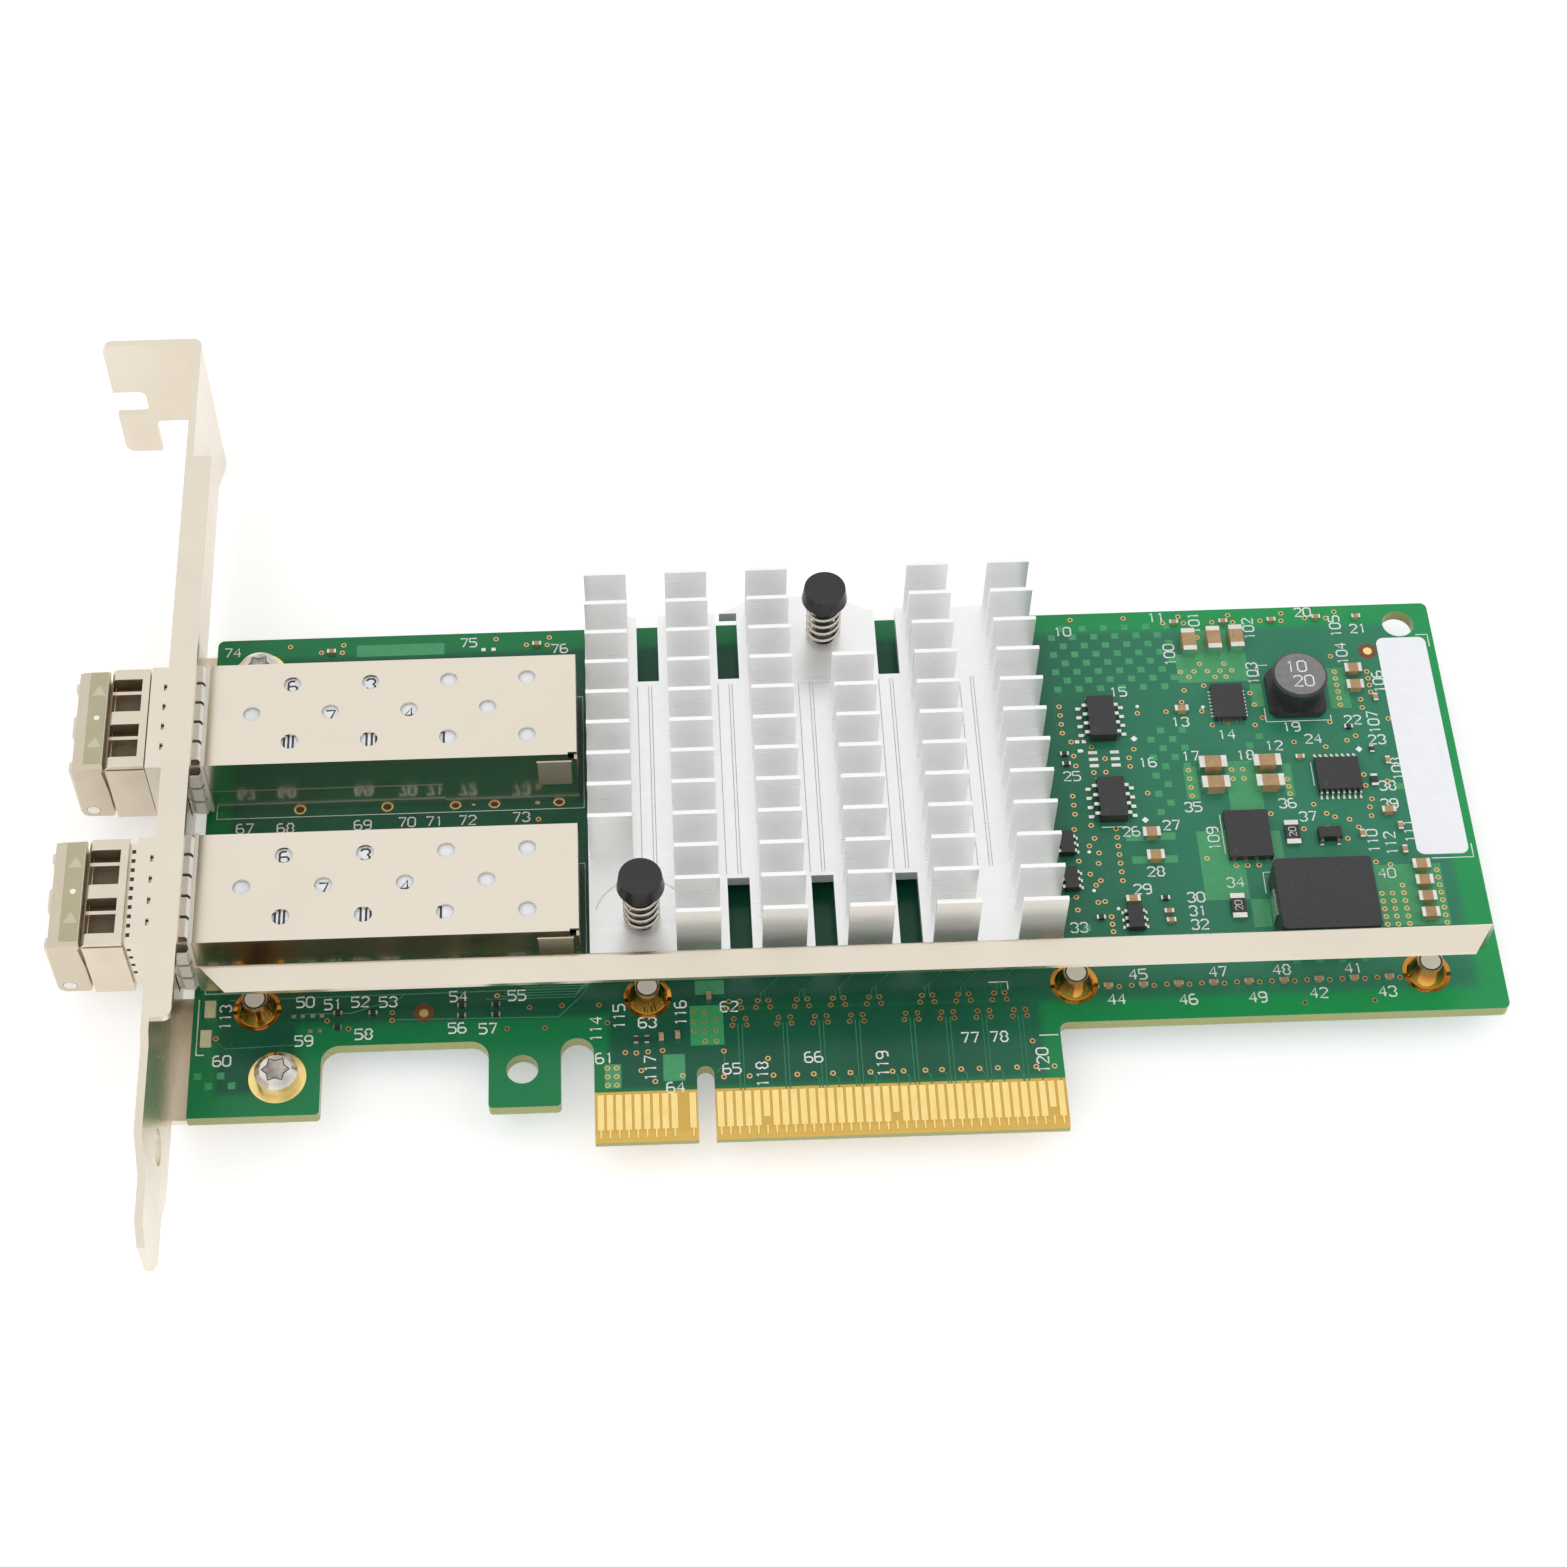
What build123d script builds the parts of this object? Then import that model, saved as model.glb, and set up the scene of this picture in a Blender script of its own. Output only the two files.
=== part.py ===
import os

from build123d import *

os.makedirs("parts", exist_ok=True)

# Frame: X runs from the bracket to the far end of the board, Y away from the edge contacts and Z up
# from the board's component face. The origin is the key notch's centre on the contact edge.

# Board outline
board_t = 1.57
board_x0 = -56.5
board_x1 = 89.0
board_y0 = 12.8
board_y1 = 68.9
outer_corner_r = 0.8
foot_x1 = -42.1
foot_y0 = 4.4
tab_hole_x0 = -23.7
tab_hole_x1 = -15.8
tab_hole_y0 = 4.5
notch_corner_r = 2.0
small_corner_r = 1.0
slot_end_flat = 0.02
clearance_hole_r = 1.85
clearance_hole_inset = (3.85, 3.0)
tab_hole_r = 1.75
tab_hole_xy = (-20.0, 9.15)

# Edge contacts
edge_x0 = -12.15
edge_x1 = 39.15
key_width = 1.9
key_depth = 8.8
bevel_length = 0.9
bevel_depth = 0.4
contact_pitch = 1.0
contact_width = 0.7
contact_y0 = 1.3
contact_length = 4.3
contact_t = 0.05
short_contact_cut = 1.1
contacts_left = 11
contacts_right = 38
first_contact_x = 1.5
missing_contact_x = -2.5
short_contact_xs = (6.5, 20.5, 37.5)

# Bracket
sheet_t = 0.86
plate_x0 = -59.05
bracket_top_y = 103.26
bracket_length = 120.02
bracket_z0 = -2.43
bracket_z1 = 16.02
bend_r = 0.3
flange_reach = 11.43
flange_z0 = -3.7
flange_corner_r = 1.2
screw_slot_z = 5.4
screw_slot_width = 4.2
screw_slot_depth = 4.0
screw_slot_corner_r = 0.9
hook_width = 6.6
hook_z1 = 2.0
lobe_corner_r = 1.2
wing_z0 = -5.9
wing_length = 2.2
wing_slope = 6.2
lip_width = 3.1
lip_y0 = 8.0
lip_y1 = 84.5
waist_y = 6.5
waist_inset = (1.43, 0.82)
tongue_width = 10.19
tongue_z0 = 4.7
tongue_shoulder_y0 = -9.8
tongue_shoulder_y1 = -5.0
tongue_joggle = 0.7
tongue_tip_length = 1.8
tongue_tip_inset = 2.3
tongue_corner_drop = 1.0
bracket_hole_r = 2.0
bracket_hole_yz = (-2.0, 5.9)
plate_opening_clearance = 0.35
foot_tab_y = ((5.0, 15.6), (59.6, 67.6))
foot_tab_x1 = (-42.6, -47.0)
foot_strip_x1 = -55.6
foot_strip_y1 = 20.3

# Bracket screws
screw_xy = ((-46.8, 9.1), (-51.2, 63.6))
screw_head_r = 2.375
screw_head_h = 1.9
screw_shank_r = 1.45
screw_hole_clearance = 0.2
screw_reach = 0.7
screw_thread_bite = 0.03
screw_pad_r = 3.175

# Stiffener bar
bar_t = 0.5
bar_y0 = 15.4
bar_y1 = 19.2
bar_top = 8.0
bar_x0 = -55.3
bar_x1 = 86.6
bar_corner_x = (3.5, 2.53)
bar_web_z0 = 2.8
bar_foot_width = 2.7
bar_foot_top = 2.45
rivet_xs = (-49.4, -6.1, 41.3, 80.5)
rivet_y = 17.7
rivet_base_r = 2.2
rivet_neck_r = 1.3
rivet_shank_r = 0.9
rivet_fit = 0.05
rivet_recess = 0.2
rivet_pad_r = 2.65
rivet_tail_h = 0.45
rivet_tail_r = 1.3

# Cages
cage_ys = (51.1, 27.75)
cage_width = 14.0
cage_height = 9.7
cage_wall = 0.3
cage_x0 = -62.2
cage_x1 = -13.3
cage_floor_x1 = -40.0
latch_slot_width = 4.0
latch_slot_length = 7.0
vent_r = 1.0
vent_pitch = 9.0
vent_row = 4.0
vent_columns = 4
vent_first_x = -50.4
skirt_x = (-55.5, -28.7)
skirt_z = 4.4
skirt_step = 0.1
rear_tab_x = (-17.9, -13.9)
rear_tab_z = (3.8, 8.3)
nose_slits = 4
nose_slit_pitch = 2.75
nose_slit_x = (-60.7, -60.2)
nose_slit_width = 0.9
corner_gap = 1.0
tail_xs = (-45.7, -35.6, -27.7, -23.2, -15.7)
tail_width = 0.7
tail_reach = 1.0
tail_hole_r = 0.5

# Spring fingers round each cage, behind the bracket
finger_t = 0.2
finger_band_x = (-55.9, -55.5)
finger_crest_x = (-57.3, -56.15)
finger_rise = 0.55
finger_seat = 0.02
finger_band_z0 = 0.6
finger_width = 2.25
finger_pitch = 2.7
fingers_top = 5
fingers_side = 3
finger_gap = 0.15

# Host connectors inside the cages
host_x0 = -27.5
host_x1 = -15.5
host_width = 11.4
host_height = 7.6
host_slot_depth = 8.0
host_chamfer = 1.2
card_fit = 0.2

# Pluggable modules
module_shift = (0.0, -0.8)
module_width = 13.6
head_x0 = -66.8
head_x1 = -62.35
head_z0 = -0.5
head_z1 = 9.75
head_edge_r = 0.7
shell_clearance = 0.2
shell_x1 = -30.0
cover_x1 = -14.4
cover_t = 0.3
card_t = 1.0
card_z0 = 3.3
card_width = 10.4
card_x0 = -40.0
card_x1 = -20.5
port_front_x = -71.1
port_roof_x = -70.0
port_block_half = 6.1
port_block_z = (-0.2, 8.2)
port_pitch = 6.3
port_width = 4.8
port_height = 5.0
port_z0 = 2.1
port_depth = 10.6
port_lip_width = 3.6
port_lip_depth = 2.4
port_cut = 0.01
port_root = 0.5
sleeve_r = 1.25
sleeve_bore_r = 0.65
sleeve_length = 5.0
window_x = (-66.55, -63.2)
window_width = 4.5
window_depth = 1.9
rib_width = 0.45
head_groove = 0.3
head_groove_z = 8.95
latch_boss = (1.9, 2.4, 0.35)
latch_boss_x = -58.8
head_ring_t = 0.25
head_ring_gap = 0.25
head_ring_seat = 0.02
head_ring_slots = 10
head_ring_slot = 0.5
head_ring_pitch = 1.2
head_ring_side_zs = (3.0, 4.6, 6.2, 7.8)
head_ring_band = 0.2

# Bails
bail_pivot_x = -69.4
bail_pivot_z = 1.1
bail_pin_r = 0.74
bail_pin_fit = 0.05
bail_pin_root = 0.9
bail_arm_t = 0.65
bail_arm_x = (-70.8, -67.05)
bail_arm_z0 = -0.15
bail_bar_x = (-69.3, -66.9)
bail_bar_t = 0.65
bail_bar_top = 9.9
bail_bend = 0.45
bail_bend_t = 0.3
bail_taper = 0.25

# Heat sink
sink_x0 = -12.3
sink_x1 = 40.1
sink_y0 = 20.9
sink_y1 = 67.7
sink_z0 = 2.4
sink_base_t = 1.5
fin_height = 8.7
fin_t = 0.5
fin_width = 4.9
fin_pitch_x = 9.43
fin_pitch_y = 4.218
fin_columns = 6
fin_rows = 12
fin_inset = 0.2
sink_slot_width = 2.5
sink_slot_length = 9.6
ear_x = (3.7, 8.2, 17.5, 21.0)
ear_depth = 2.3

# Controller and its thermal pad
chip_centre = (4.7, 44.9)
chip_size = 25.0
chip_substrate_t = 1.0
chip_lid_size = 20.0
pad_t = 0.3

# Spring-loaded pins that hold the heat sink
pin_xy = ((15.9, 64.2), (-6.45, 25.5))
pin_cap_r = 2.65
pin_crown_r = 2.4
pin_top = 12.8
pin_cap_h = 1.9
pin_shank_r = 1.15
pin_hole_clearance = 0.35
pin_barb_r = 1.75
pin_barb_h = 1.6
pin_barb_gap = 0.1
pin_tip_r = 0.6
pin_split = 0.5
spring_r = 1.85
spring_wire_r = 0.22
spring_turns = 5.0
spring_end_gap = 0.05
spring_wire_sides = 4
pin_row_share = 1.3

# Leads of the surface-mounted chips
lead_t = 0.15
knee_share = 0.45


def rect(x0, x1, y0, y1, mode=Mode.ADD):
    """Draw a rectangle between two corners in the current sketch."""
    with Locations(((x0 + x1) / 2, (y0 + y1) / 2)):
        Rectangle(x1 - x0, y1 - y0, mode=mode)


def block(x0, x1, y0, y1, z0, z1, mode=Mode.ADD):
    """Add a box between two corners to the current part."""
    with Locations(((x0 + x1) / 2, (y0 + y1) / 2, (z0 + z1) / 2)):
        Box(x1 - x0, y1 - y0, z1 - z0, mode=mode)


def post(x, y, z0, z1, radius, mode=Mode.ADD):
    """Add an upright cylinder to the current part."""
    with Locations((x, y, (z0 + z1) / 2)):
        Cylinder(radius, z1 - z0, mode=mode)


def outline(points):
    """Draw a closed outline through its corners in the current sketch."""
    Polygon(*points, align=None)


def nearest(sketch, x, y):
    """Pick the corner of a sketch that lies nearest to a place."""
    return sketch.vertices().sort_by_distance((x, y))[0]


screw_hole_r = screw_shank_r + screw_hole_clearance
pin_hole_r = pin_shank_r + pin_hole_clearance
rivet_hole_r = rivet_shank_r + rivet_fit
clearance_hole_xy = (board_x1 - clearance_hole_inset[0], board_y1 - clearance_hole_inset[1])
tail_inset = cage_wall / 2
tail_ys = [y + side * (cage_width / 2 - tail_inset) for y in cage_ys for side in (-1, 1)]

# Board
with BuildPart() as board:
    with BuildSketch(Plane.XY.offset(-board_t)) as board_face:
        rect(board_x0, board_x1, board_y0, board_y1)
        rect(board_x0, foot_x1, foot_y0, board_y0)
        rect(tab_hole_x0, tab_hole_x1, tab_hole_y0, board_y0)
        rect(edge_x0, edge_x1, 0, board_y0)
        slot_r = (edge_x0 - tab_hole_x1) / 2 - slot_end_flat
        for x, radius in ((foot_x1, notch_corner_r), (tab_hole_x0, notch_corner_r)):
            fillet(nearest(board_face, x, board_y0), radius)
        for x in (tab_hole_x1, edge_x0):
            fillet(nearest(board_face, x, board_y0), slot_r)
        fillet(nearest(board_face, edge_x1, board_y0), small_corner_r)
        for x, y in ((tab_hole_x0, tab_hole_y0), (tab_hole_x1, tab_hole_y0), (foot_x1, foot_y0)):
            fillet(nearest(board_face, x, y), small_corner_r / 2)
        for x, y in ((board_x1, board_y0), (board_x1, board_y1), (board_x0, board_y1)):
            fillet(nearest(board_face, x, y), outer_corner_r)
        with Locations((0, key_depth / 2 - key_width / 2)):
            SlotOverall(key_depth + key_width, key_width, rotation=90, mode=Mode.SUBTRACT)
        with Locations(clearance_hole_xy):
            Circle(clearance_hole_r, mode=Mode.SUBTRACT)
        with Locations(tab_hole_xy):
            Circle(tab_hole_r, mode=Mode.SUBTRACT)
        with Locations(*screw_xy):
            Circle(screw_hole_r, mode=Mode.SUBTRACT)
        with Locations(*pin_xy):
            Circle(pin_hole_r, mode=Mode.SUBTRACT)
        with Locations(*[(x, rivet_y) for x in rivet_xs]):
            Circle(rivet_hole_r, mode=Mode.SUBTRACT)
        with Locations(*[(x, y) for x in tail_xs for y in tail_ys]):
            RegularPolygon(tail_hole_r, 8, mode=Mode.SUBTRACT)
    extrude(amount=board_t)
    with BuildSketch(Plane.YZ.offset(edge_x0)):
        outline(((0, 0), (bevel_length, 0), (0, -bevel_depth)))
        outline(((0, -board_t), (bevel_length, -board_t), (0, bevel_depth - board_t)))
    extrude(amount=edge_x1 - edge_x0, mode=Mode.SUBTRACT)
board.part.label = "board"
export_step(board.part, "parts/board.step")

# Edge contacts, on both faces
contact_xs = [-first_contact_x - contact_pitch * i for i in range(contacts_left)]
contact_xs += [first_contact_x + contact_pitch * i for i in range(contacts_right)]
for name, plane in (("contacts_top", Plane.XY), ("contacts_bottom", Plane.XY.offset(-board_t - contact_t))):
    with BuildPart() as contacts:
        with BuildSketch(plane):
            for x in contact_xs:
                if name == "contacts_top" and x == missing_contact_x:
                    continue
                cut = short_contact_cut if x in short_contact_xs else 0
                half = contact_width / 2
                rect(x - half, x + half, contact_y0 + cut, contact_y0 + contact_length)
        extrude(amount=contact_t)
    contacts.part.label = name
    export_step(contacts.part, f"parts/{name}.step")

# Bracket: one bent sheet with a screw flange, a stiffening lip, a tongue and two feet
plate_x1 = plate_x0 + sheet_t
flange_y0 = bracket_top_y - sheet_t
flange_x0 = plate_x0 - flange_reach
tongue_y0 = bracket_top_y - bracket_length
tongue_z1 = tongue_z0 + tongue_width
wing_y0 = bracket_top_y - wing_length
hook_x0 = plate_x0 - bend_r - hook_width
with BuildPart() as bracket:
    with BuildSketch(Plane.XY.offset(wing_z0)) as side_profile:
        outline((
            (flange_x0, bracket_top_y),
            (plate_x1, bracket_top_y),
            (plate_x1, tongue_shoulder_y1),
            (plate_x1 + tongue_joggle, tongue_shoulder_y0),
            (plate_x1 + tongue_joggle, tongue_y0),
            (plate_x0 + tongue_joggle, tongue_y0),
            (plate_x0 + tongue_joggle, tongue_shoulder_y0),
            (plate_x0, tongue_shoulder_y1),
            (plate_x0, flange_y0),
            (flange_x0, flange_y0),
        ))
        fillet(nearest(side_profile, plate_x1, bracket_top_y), sheet_t + bend_r)
        fillet(nearest(side_profile, plate_x0, flange_y0), bend_r)
    extrude(amount=bracket_z1 - wing_z0)
    with BuildSketch(Plane.YZ.offset(flange_x0)) as front_outline:
        outline((
            (bracket_top_y, bracket_z1),
            (waist_y, bracket_z1),
            (waist_y - waist_inset[0], bracket_z1 - waist_inset[1]),
            (tongue_shoulder_y1, bracket_z1 - waist_inset[1]),
            (tongue_shoulder_y0 - tongue_corner_drop, tongue_z1),
            (tongue_y0 + tongue_tip_length, tongue_z1),
            (tongue_y0, tongue_z1 - tongue_tip_inset),
            (tongue_y0, tongue_z0 + tongue_tip_inset),
            (tongue_y0 + tongue_tip_length, tongue_z0),
            (tongue_shoulder_y0, tongue_z0),
            (tongue_shoulder_y1, bracket_z0 + waist_inset[0]),
            (waist_y - waist_inset[0], bracket_z0 + waist_inset[0]),
            (waist_y, bracket_z0),
            (wing_y0 - wing_slope, bracket_z0),
            (wing_y0, wing_z0),
            (bracket_top_y, wing_z0),
        ))
        fillet(nearest(front_outline, wing_y0, wing_z0), small_corner_r)
    extrude(amount=flange_reach + 2 * sheet_t + tongue_joggle, mode=Mode.INTERSECT)
    with BuildSketch(Plane.XZ.offset(-bracket_top_y)) as flange_cuts:
        with Locations((flange_x0, screw_slot_z)):
            RectangleRounded(2 * screw_slot_depth, screw_slot_width, screw_slot_corner_r)
        rect(hook_x0, plate_x0 - bend_r, wing_z0, hook_z1)
        fillet(nearest(flange_cuts, hook_x0, hook_z1), screw_slot_corner_r)
        rect(flange_x0, plate_x0 - bend_r, wing_z0, flange_z0)
    extrude(amount=sheet_t + bend_r, mode=Mode.SUBTRACT)
    lobe_edges = bracket.edges().filter_by(Axis.Y).sort_by_distance((flange_x0, bracket_top_y, flange_z0))
    fillet(lobe_edges[0], lobe_corner_r)
    crown_edges = bracket.edges().filter_by(Axis.Y).sort_by_distance((flange_x0, bracket_top_y, bracket_z1))
    fillet(crown_edges[0], flange_corner_r)
    with BuildSketch(Plane.XZ.offset(-lip_y1)) as lip_profile:
        outline((
            (plate_x0, bracket_z1 - 2 * sheet_t),
            (plate_x0, bracket_z1),
            (plate_x0 + lip_width, bracket_z1),
            (plate_x0 + lip_width, bracket_z1 - sheet_t),
            (plate_x1, bracket_z1 - sheet_t),
            (plate_x1, bracket_z1 - 2 * sheet_t),
        ))
    extrude(amount=lip_y1 - lip_y0)
    lip_ends = bracket.edges().filter_by(Axis.Z).sort_by_distance((plate_x0 + lip_width, lip_y0, bracket_z1))
    fillet(lip_ends[0], small_corner_r)
    for (y0, y1), x1 in zip(foot_tab_y, foot_tab_x1):
        block(plate_x0, x1, y0, y1, -board_t - sheet_t, -board_t)
    block(plate_x0, foot_strip_x1, foot_tab_y[0][0], foot_strip_y1, -board_t - sheet_t, -board_t)
    with BuildSketch(Plane.YZ.offset(plate_x0 - sheet_t)):
        for y in cage_ys:
            half = cage_width / 2 + plate_opening_clearance
            rect(y - half, y + half, -plate_opening_clearance, cage_height + plate_opening_clearance)
        with Locations(bracket_hole_yz):
            Circle(bracket_hole_r)
    extrude(amount=3 * sheet_t, mode=Mode.SUBTRACT)
    for x, y in screw_xy:
        post(x, y, -board_t - 2 * sheet_t, -board_t, screw_shank_r + screw_thread_bite, Mode.SUBTRACT)
bracket.part.label = "bracket"
export_step(bracket.part, "parts/bracket.step")

# Bracket screws, through the board into the feet
with BuildPart() as bracket_screws:
    for x, y in screw_xy:
        post(x, y, contact_t, contact_t + screw_head_h, screw_head_r)
    head_rims = bracket_screws.edges().filter_by(GeomType.CIRCLE).group_by(Axis.Z)[-1]
    chamfer(head_rims, screw_head_h / 4, screw_head_h / 3)
    for x, y in screw_xy:
        post(x, y, -board_t - sheet_t - screw_reach, contact_t, screw_shank_r)
bracket_screws.part.label = "bracket_screws"
export_step(bracket_screws.part, "parts/bracket_screws.step")

# Plated rings under the screw heads and the stiffener's rivets
with BuildPart() as screw_pads:
    for x, y in screw_xy:
        post(x, y, 0, contact_t, screw_pad_r)
        post(x, y, 0, contact_t, screw_hole_r, Mode.SUBTRACT)
screw_pads.part.label = "screw_pads"
export_step(screw_pads.part, "parts/screw_pads.step")

with BuildPart() as rivet_pads:
    for x in rivet_xs:
        post(x, rivet_y, 0, contact_t, rivet_pad_r)
        post(x, rivet_y, 0, contact_t, rivet_hole_r, Mode.SUBTRACT)
rivet_pads.part.label = "rivet_pads"
export_step(rivet_pads.part, "parts/rivet_pads.step")

# Stiffener bar: a folded strip whose four feet sit on flared rivets
bar_foot_z0 = bar_foot_top - bar_t
with BuildPart() as stiffener:
    with BuildSketch(Plane.XY.offset(bar_top - bar_t)):
        outline((
            (bar_x0, bar_y1),
            (bar_x0 + bar_corner_x[0], bar_y0),
            (bar_x1 - bar_corner_x[1], bar_y0),
            (bar_x1, bar_y1),
        ))
    extrude(amount=bar_t)
    block(bar_x0, bar_x1, bar_y1 - bar_t, bar_y1, bar_web_z0, bar_top)
    for x in rivet_xs:
        x0 = x - bar_foot_width / 2
        x1 = x + bar_foot_width / 2
        block(x0, x1, bar_y1 - bar_t, bar_y1, bar_foot_z0, bar_top)
        block(x0, x1, rivet_y, bar_y1, bar_foot_z0, bar_foot_top)
        post(x, rivet_y, bar_foot_z0, bar_foot_top, bar_foot_width / 2)
        post(x, rivet_y, bar_foot_z0, bar_foot_top, rivet_hole_r, Mode.SUBTRACT)
    back_fold = stiffener.edges().filter_by(Axis.X).sort_by_distance((0, bar_y1, bar_top))[0]
    fillet(back_fold, bar_t + bend_r)
stiffener.part.label = "stiffener"
export_step(stiffener.part, "parts/stiffener.step")

with BuildPart() as stiffener_rivets:
    for x in rivet_xs:
        with BuildSketch(Plane.XZ.offset(-rivet_y)):
            outline([(x + radius, z) for radius, z in (
                (0, -board_t - rivet_tail_h),
                (rivet_tail_r, -board_t - rivet_tail_h),
                (rivet_tail_r, -board_t),
                (rivet_shank_r, -board_t),
                (rivet_shank_r, contact_t),
                (rivet_base_r, contact_t),
                (rivet_neck_r, bar_foot_z0),
                (rivet_shank_r, bar_foot_z0),
                (rivet_shank_r, bar_foot_top - rivet_recess),
                (0, bar_foot_top - rivet_recess),
            )])
        revolve(axis=Axis((x, rivet_y, 0), (0, 0, 1)))
stiffener_rivets.part.label = "stiffener_rivets"
export_step(stiffener_rivets.part, "parts/stiffener_rivets.step")

# Cages: thin folded boxes, open at the nose, with vent holes and press-in tails
cage_inner_half = cage_width / 2 - cage_wall
vent_places = [(vent_first_x + vent_pitch * i, 0) for i in range(vent_columns)]
for row in (-vent_row, vent_row):
    vent_places += [(vent_first_x + vent_pitch / 2 + vent_pitch * i, row) for i in range(vent_columns)]
for name, yc in zip(("cage_upper", "cage_lower"), cage_ys):
    with BuildPart() as cage:
        y0 = yc - cage_width / 2
        y1 = yc + cage_width / 2
        block(cage_x0, cage_x1, y0, y1, 0, cage_height)
        inner_x1 = cage_x1 - cage_wall
        block(cage_x0, inner_x1, y0 + cage_wall, y1 - cage_wall,
              cage_wall, cage_height - cage_wall, Mode.SUBTRACT)
        block(cage_floor_x1, inner_x1, y0 + cage_wall, y1 - cage_wall, 0, cage_wall, Mode.SUBTRACT)
        block(cage_x0, cage_x0 + latch_slot_length, yc - latch_slot_width / 2, yc + latch_slot_width / 2,
              0, cage_wall, Mode.SUBTRACT)
        for dx, dy in vent_places:
            post(dx, yc + dy, cage_height - cage_wall, cage_height, vent_r, Mode.SUBTRACT)
        for outer, step in ((y0, skirt_step), (y1, -skirt_step)):
            low, high = sorted((outer, outer + step))
            block(skirt_x[0], skirt_x[1], low, high, 0, skirt_z, Mode.SUBTRACT)
            low, high = sorted((outer, outer - step))
            block(rear_tab_x[0], rear_tab_x[1], low, high, rear_tab_z[0], rear_tab_z[1])
        block(cage_x1 - corner_gap, cage_x1, y0, y0 + cage_wall, cage_height - corner_gap, cage_height,
              Mode.SUBTRACT)
        for i in range(nose_slits):
            slit_y = yc + nose_slit_pitch * (i - (nose_slits - 1) / 2)
            block(nose_slit_x[0], nose_slit_x[1], slit_y - nose_slit_width / 2, slit_y + nose_slit_width / 2,
                  cage_height - cage_wall, cage_height, Mode.SUBTRACT)
        for x in tail_xs:
            for y in (y0 + tail_inset, y1 - tail_inset):
                block(x - tail_width / 2, x + tail_width / 2, y - cage_wall / 2, y + cage_wall / 2,
                      -board_t - tail_reach, 0)
    cage.part.label = name
    export_step(cage.part, f"parts/{name}.step")

# Spring fingers round each cage, pressed against the bracket's inner face
finger_x0 = plate_x1 + finger_gap
finger_profile = (
    (finger_band_x[0], 0),
    (finger_band_x[0], finger_t),
    (finger_crest_x[1], finger_rise + finger_t),
    (finger_crest_x[0], finger_rise + finger_t),
    (finger_x0, finger_t),
    (finger_x0, 0),
    (finger_crest_x[0], finger_rise),
    (finger_crest_x[1], finger_rise),
)
for name, yc in zip(("fingers_upper", "fingers_lower"), cage_ys):
    with BuildPart() as fingers:
        half = cage_width / 2 + finger_seat
        skin = half + finger_t
        top = cage_height + finger_seat
        block(finger_band_x[0], finger_band_x[1], yc - skin, yc + skin, finger_band_z0, top + finger_t)
        block(finger_band_x[0], finger_band_x[1], yc - half, yc + half, finger_band_z0, top, Mode.SUBTRACT)
        for i in range(fingers_top):
            y = yc + finger_pitch * (i - (fingers_top - 1) / 2)
            with BuildSketch(Plane.XZ.offset(-y)):
                outline([(x, top + rise) for x, rise in finger_profile])
            extrude(amount=finger_width / 2, both=True)
        for i in range(fingers_side):
            z = cage_height / 2 + finger_pitch * (i - (fingers_side - 1) / 2)
            for side in (-1, 1):
                with BuildSketch(Plane.XY.offset(z)):
                    outline([(x, yc + side * (half + rise)) for x, rise in finger_profile])
                extrude(amount=finger_width / 2, both=True)
    fingers.part.label = name
    export_step(fingers.part, f"parts/{name}.step")

# Host connectors, soldered to the board inside the cages
for name, yc in zip(("host_connector_upper", "host_connector_lower"), cage_ys):
    with BuildPart() as host:
        block(host_x0, host_x1, yc - host_width / 2, yc + host_width / 2, 0, host_height)
        slot_half = card_width / 2 + card_fit
        block(host_x0, host_x0 + host_slot_depth, yc - slot_half, yc + slot_half,
              card_z0 - card_fit, card_z0 + card_t + card_fit, Mode.SUBTRACT)
        top_front = host.edges().filter_by(Axis.Y).sort_by_distance((host_x0, yc, host_height))[0]
        chamfer(top_front, host_chamfer)
    host.part.label = name
    export_step(host.part, f"parts/{name}.step")

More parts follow.
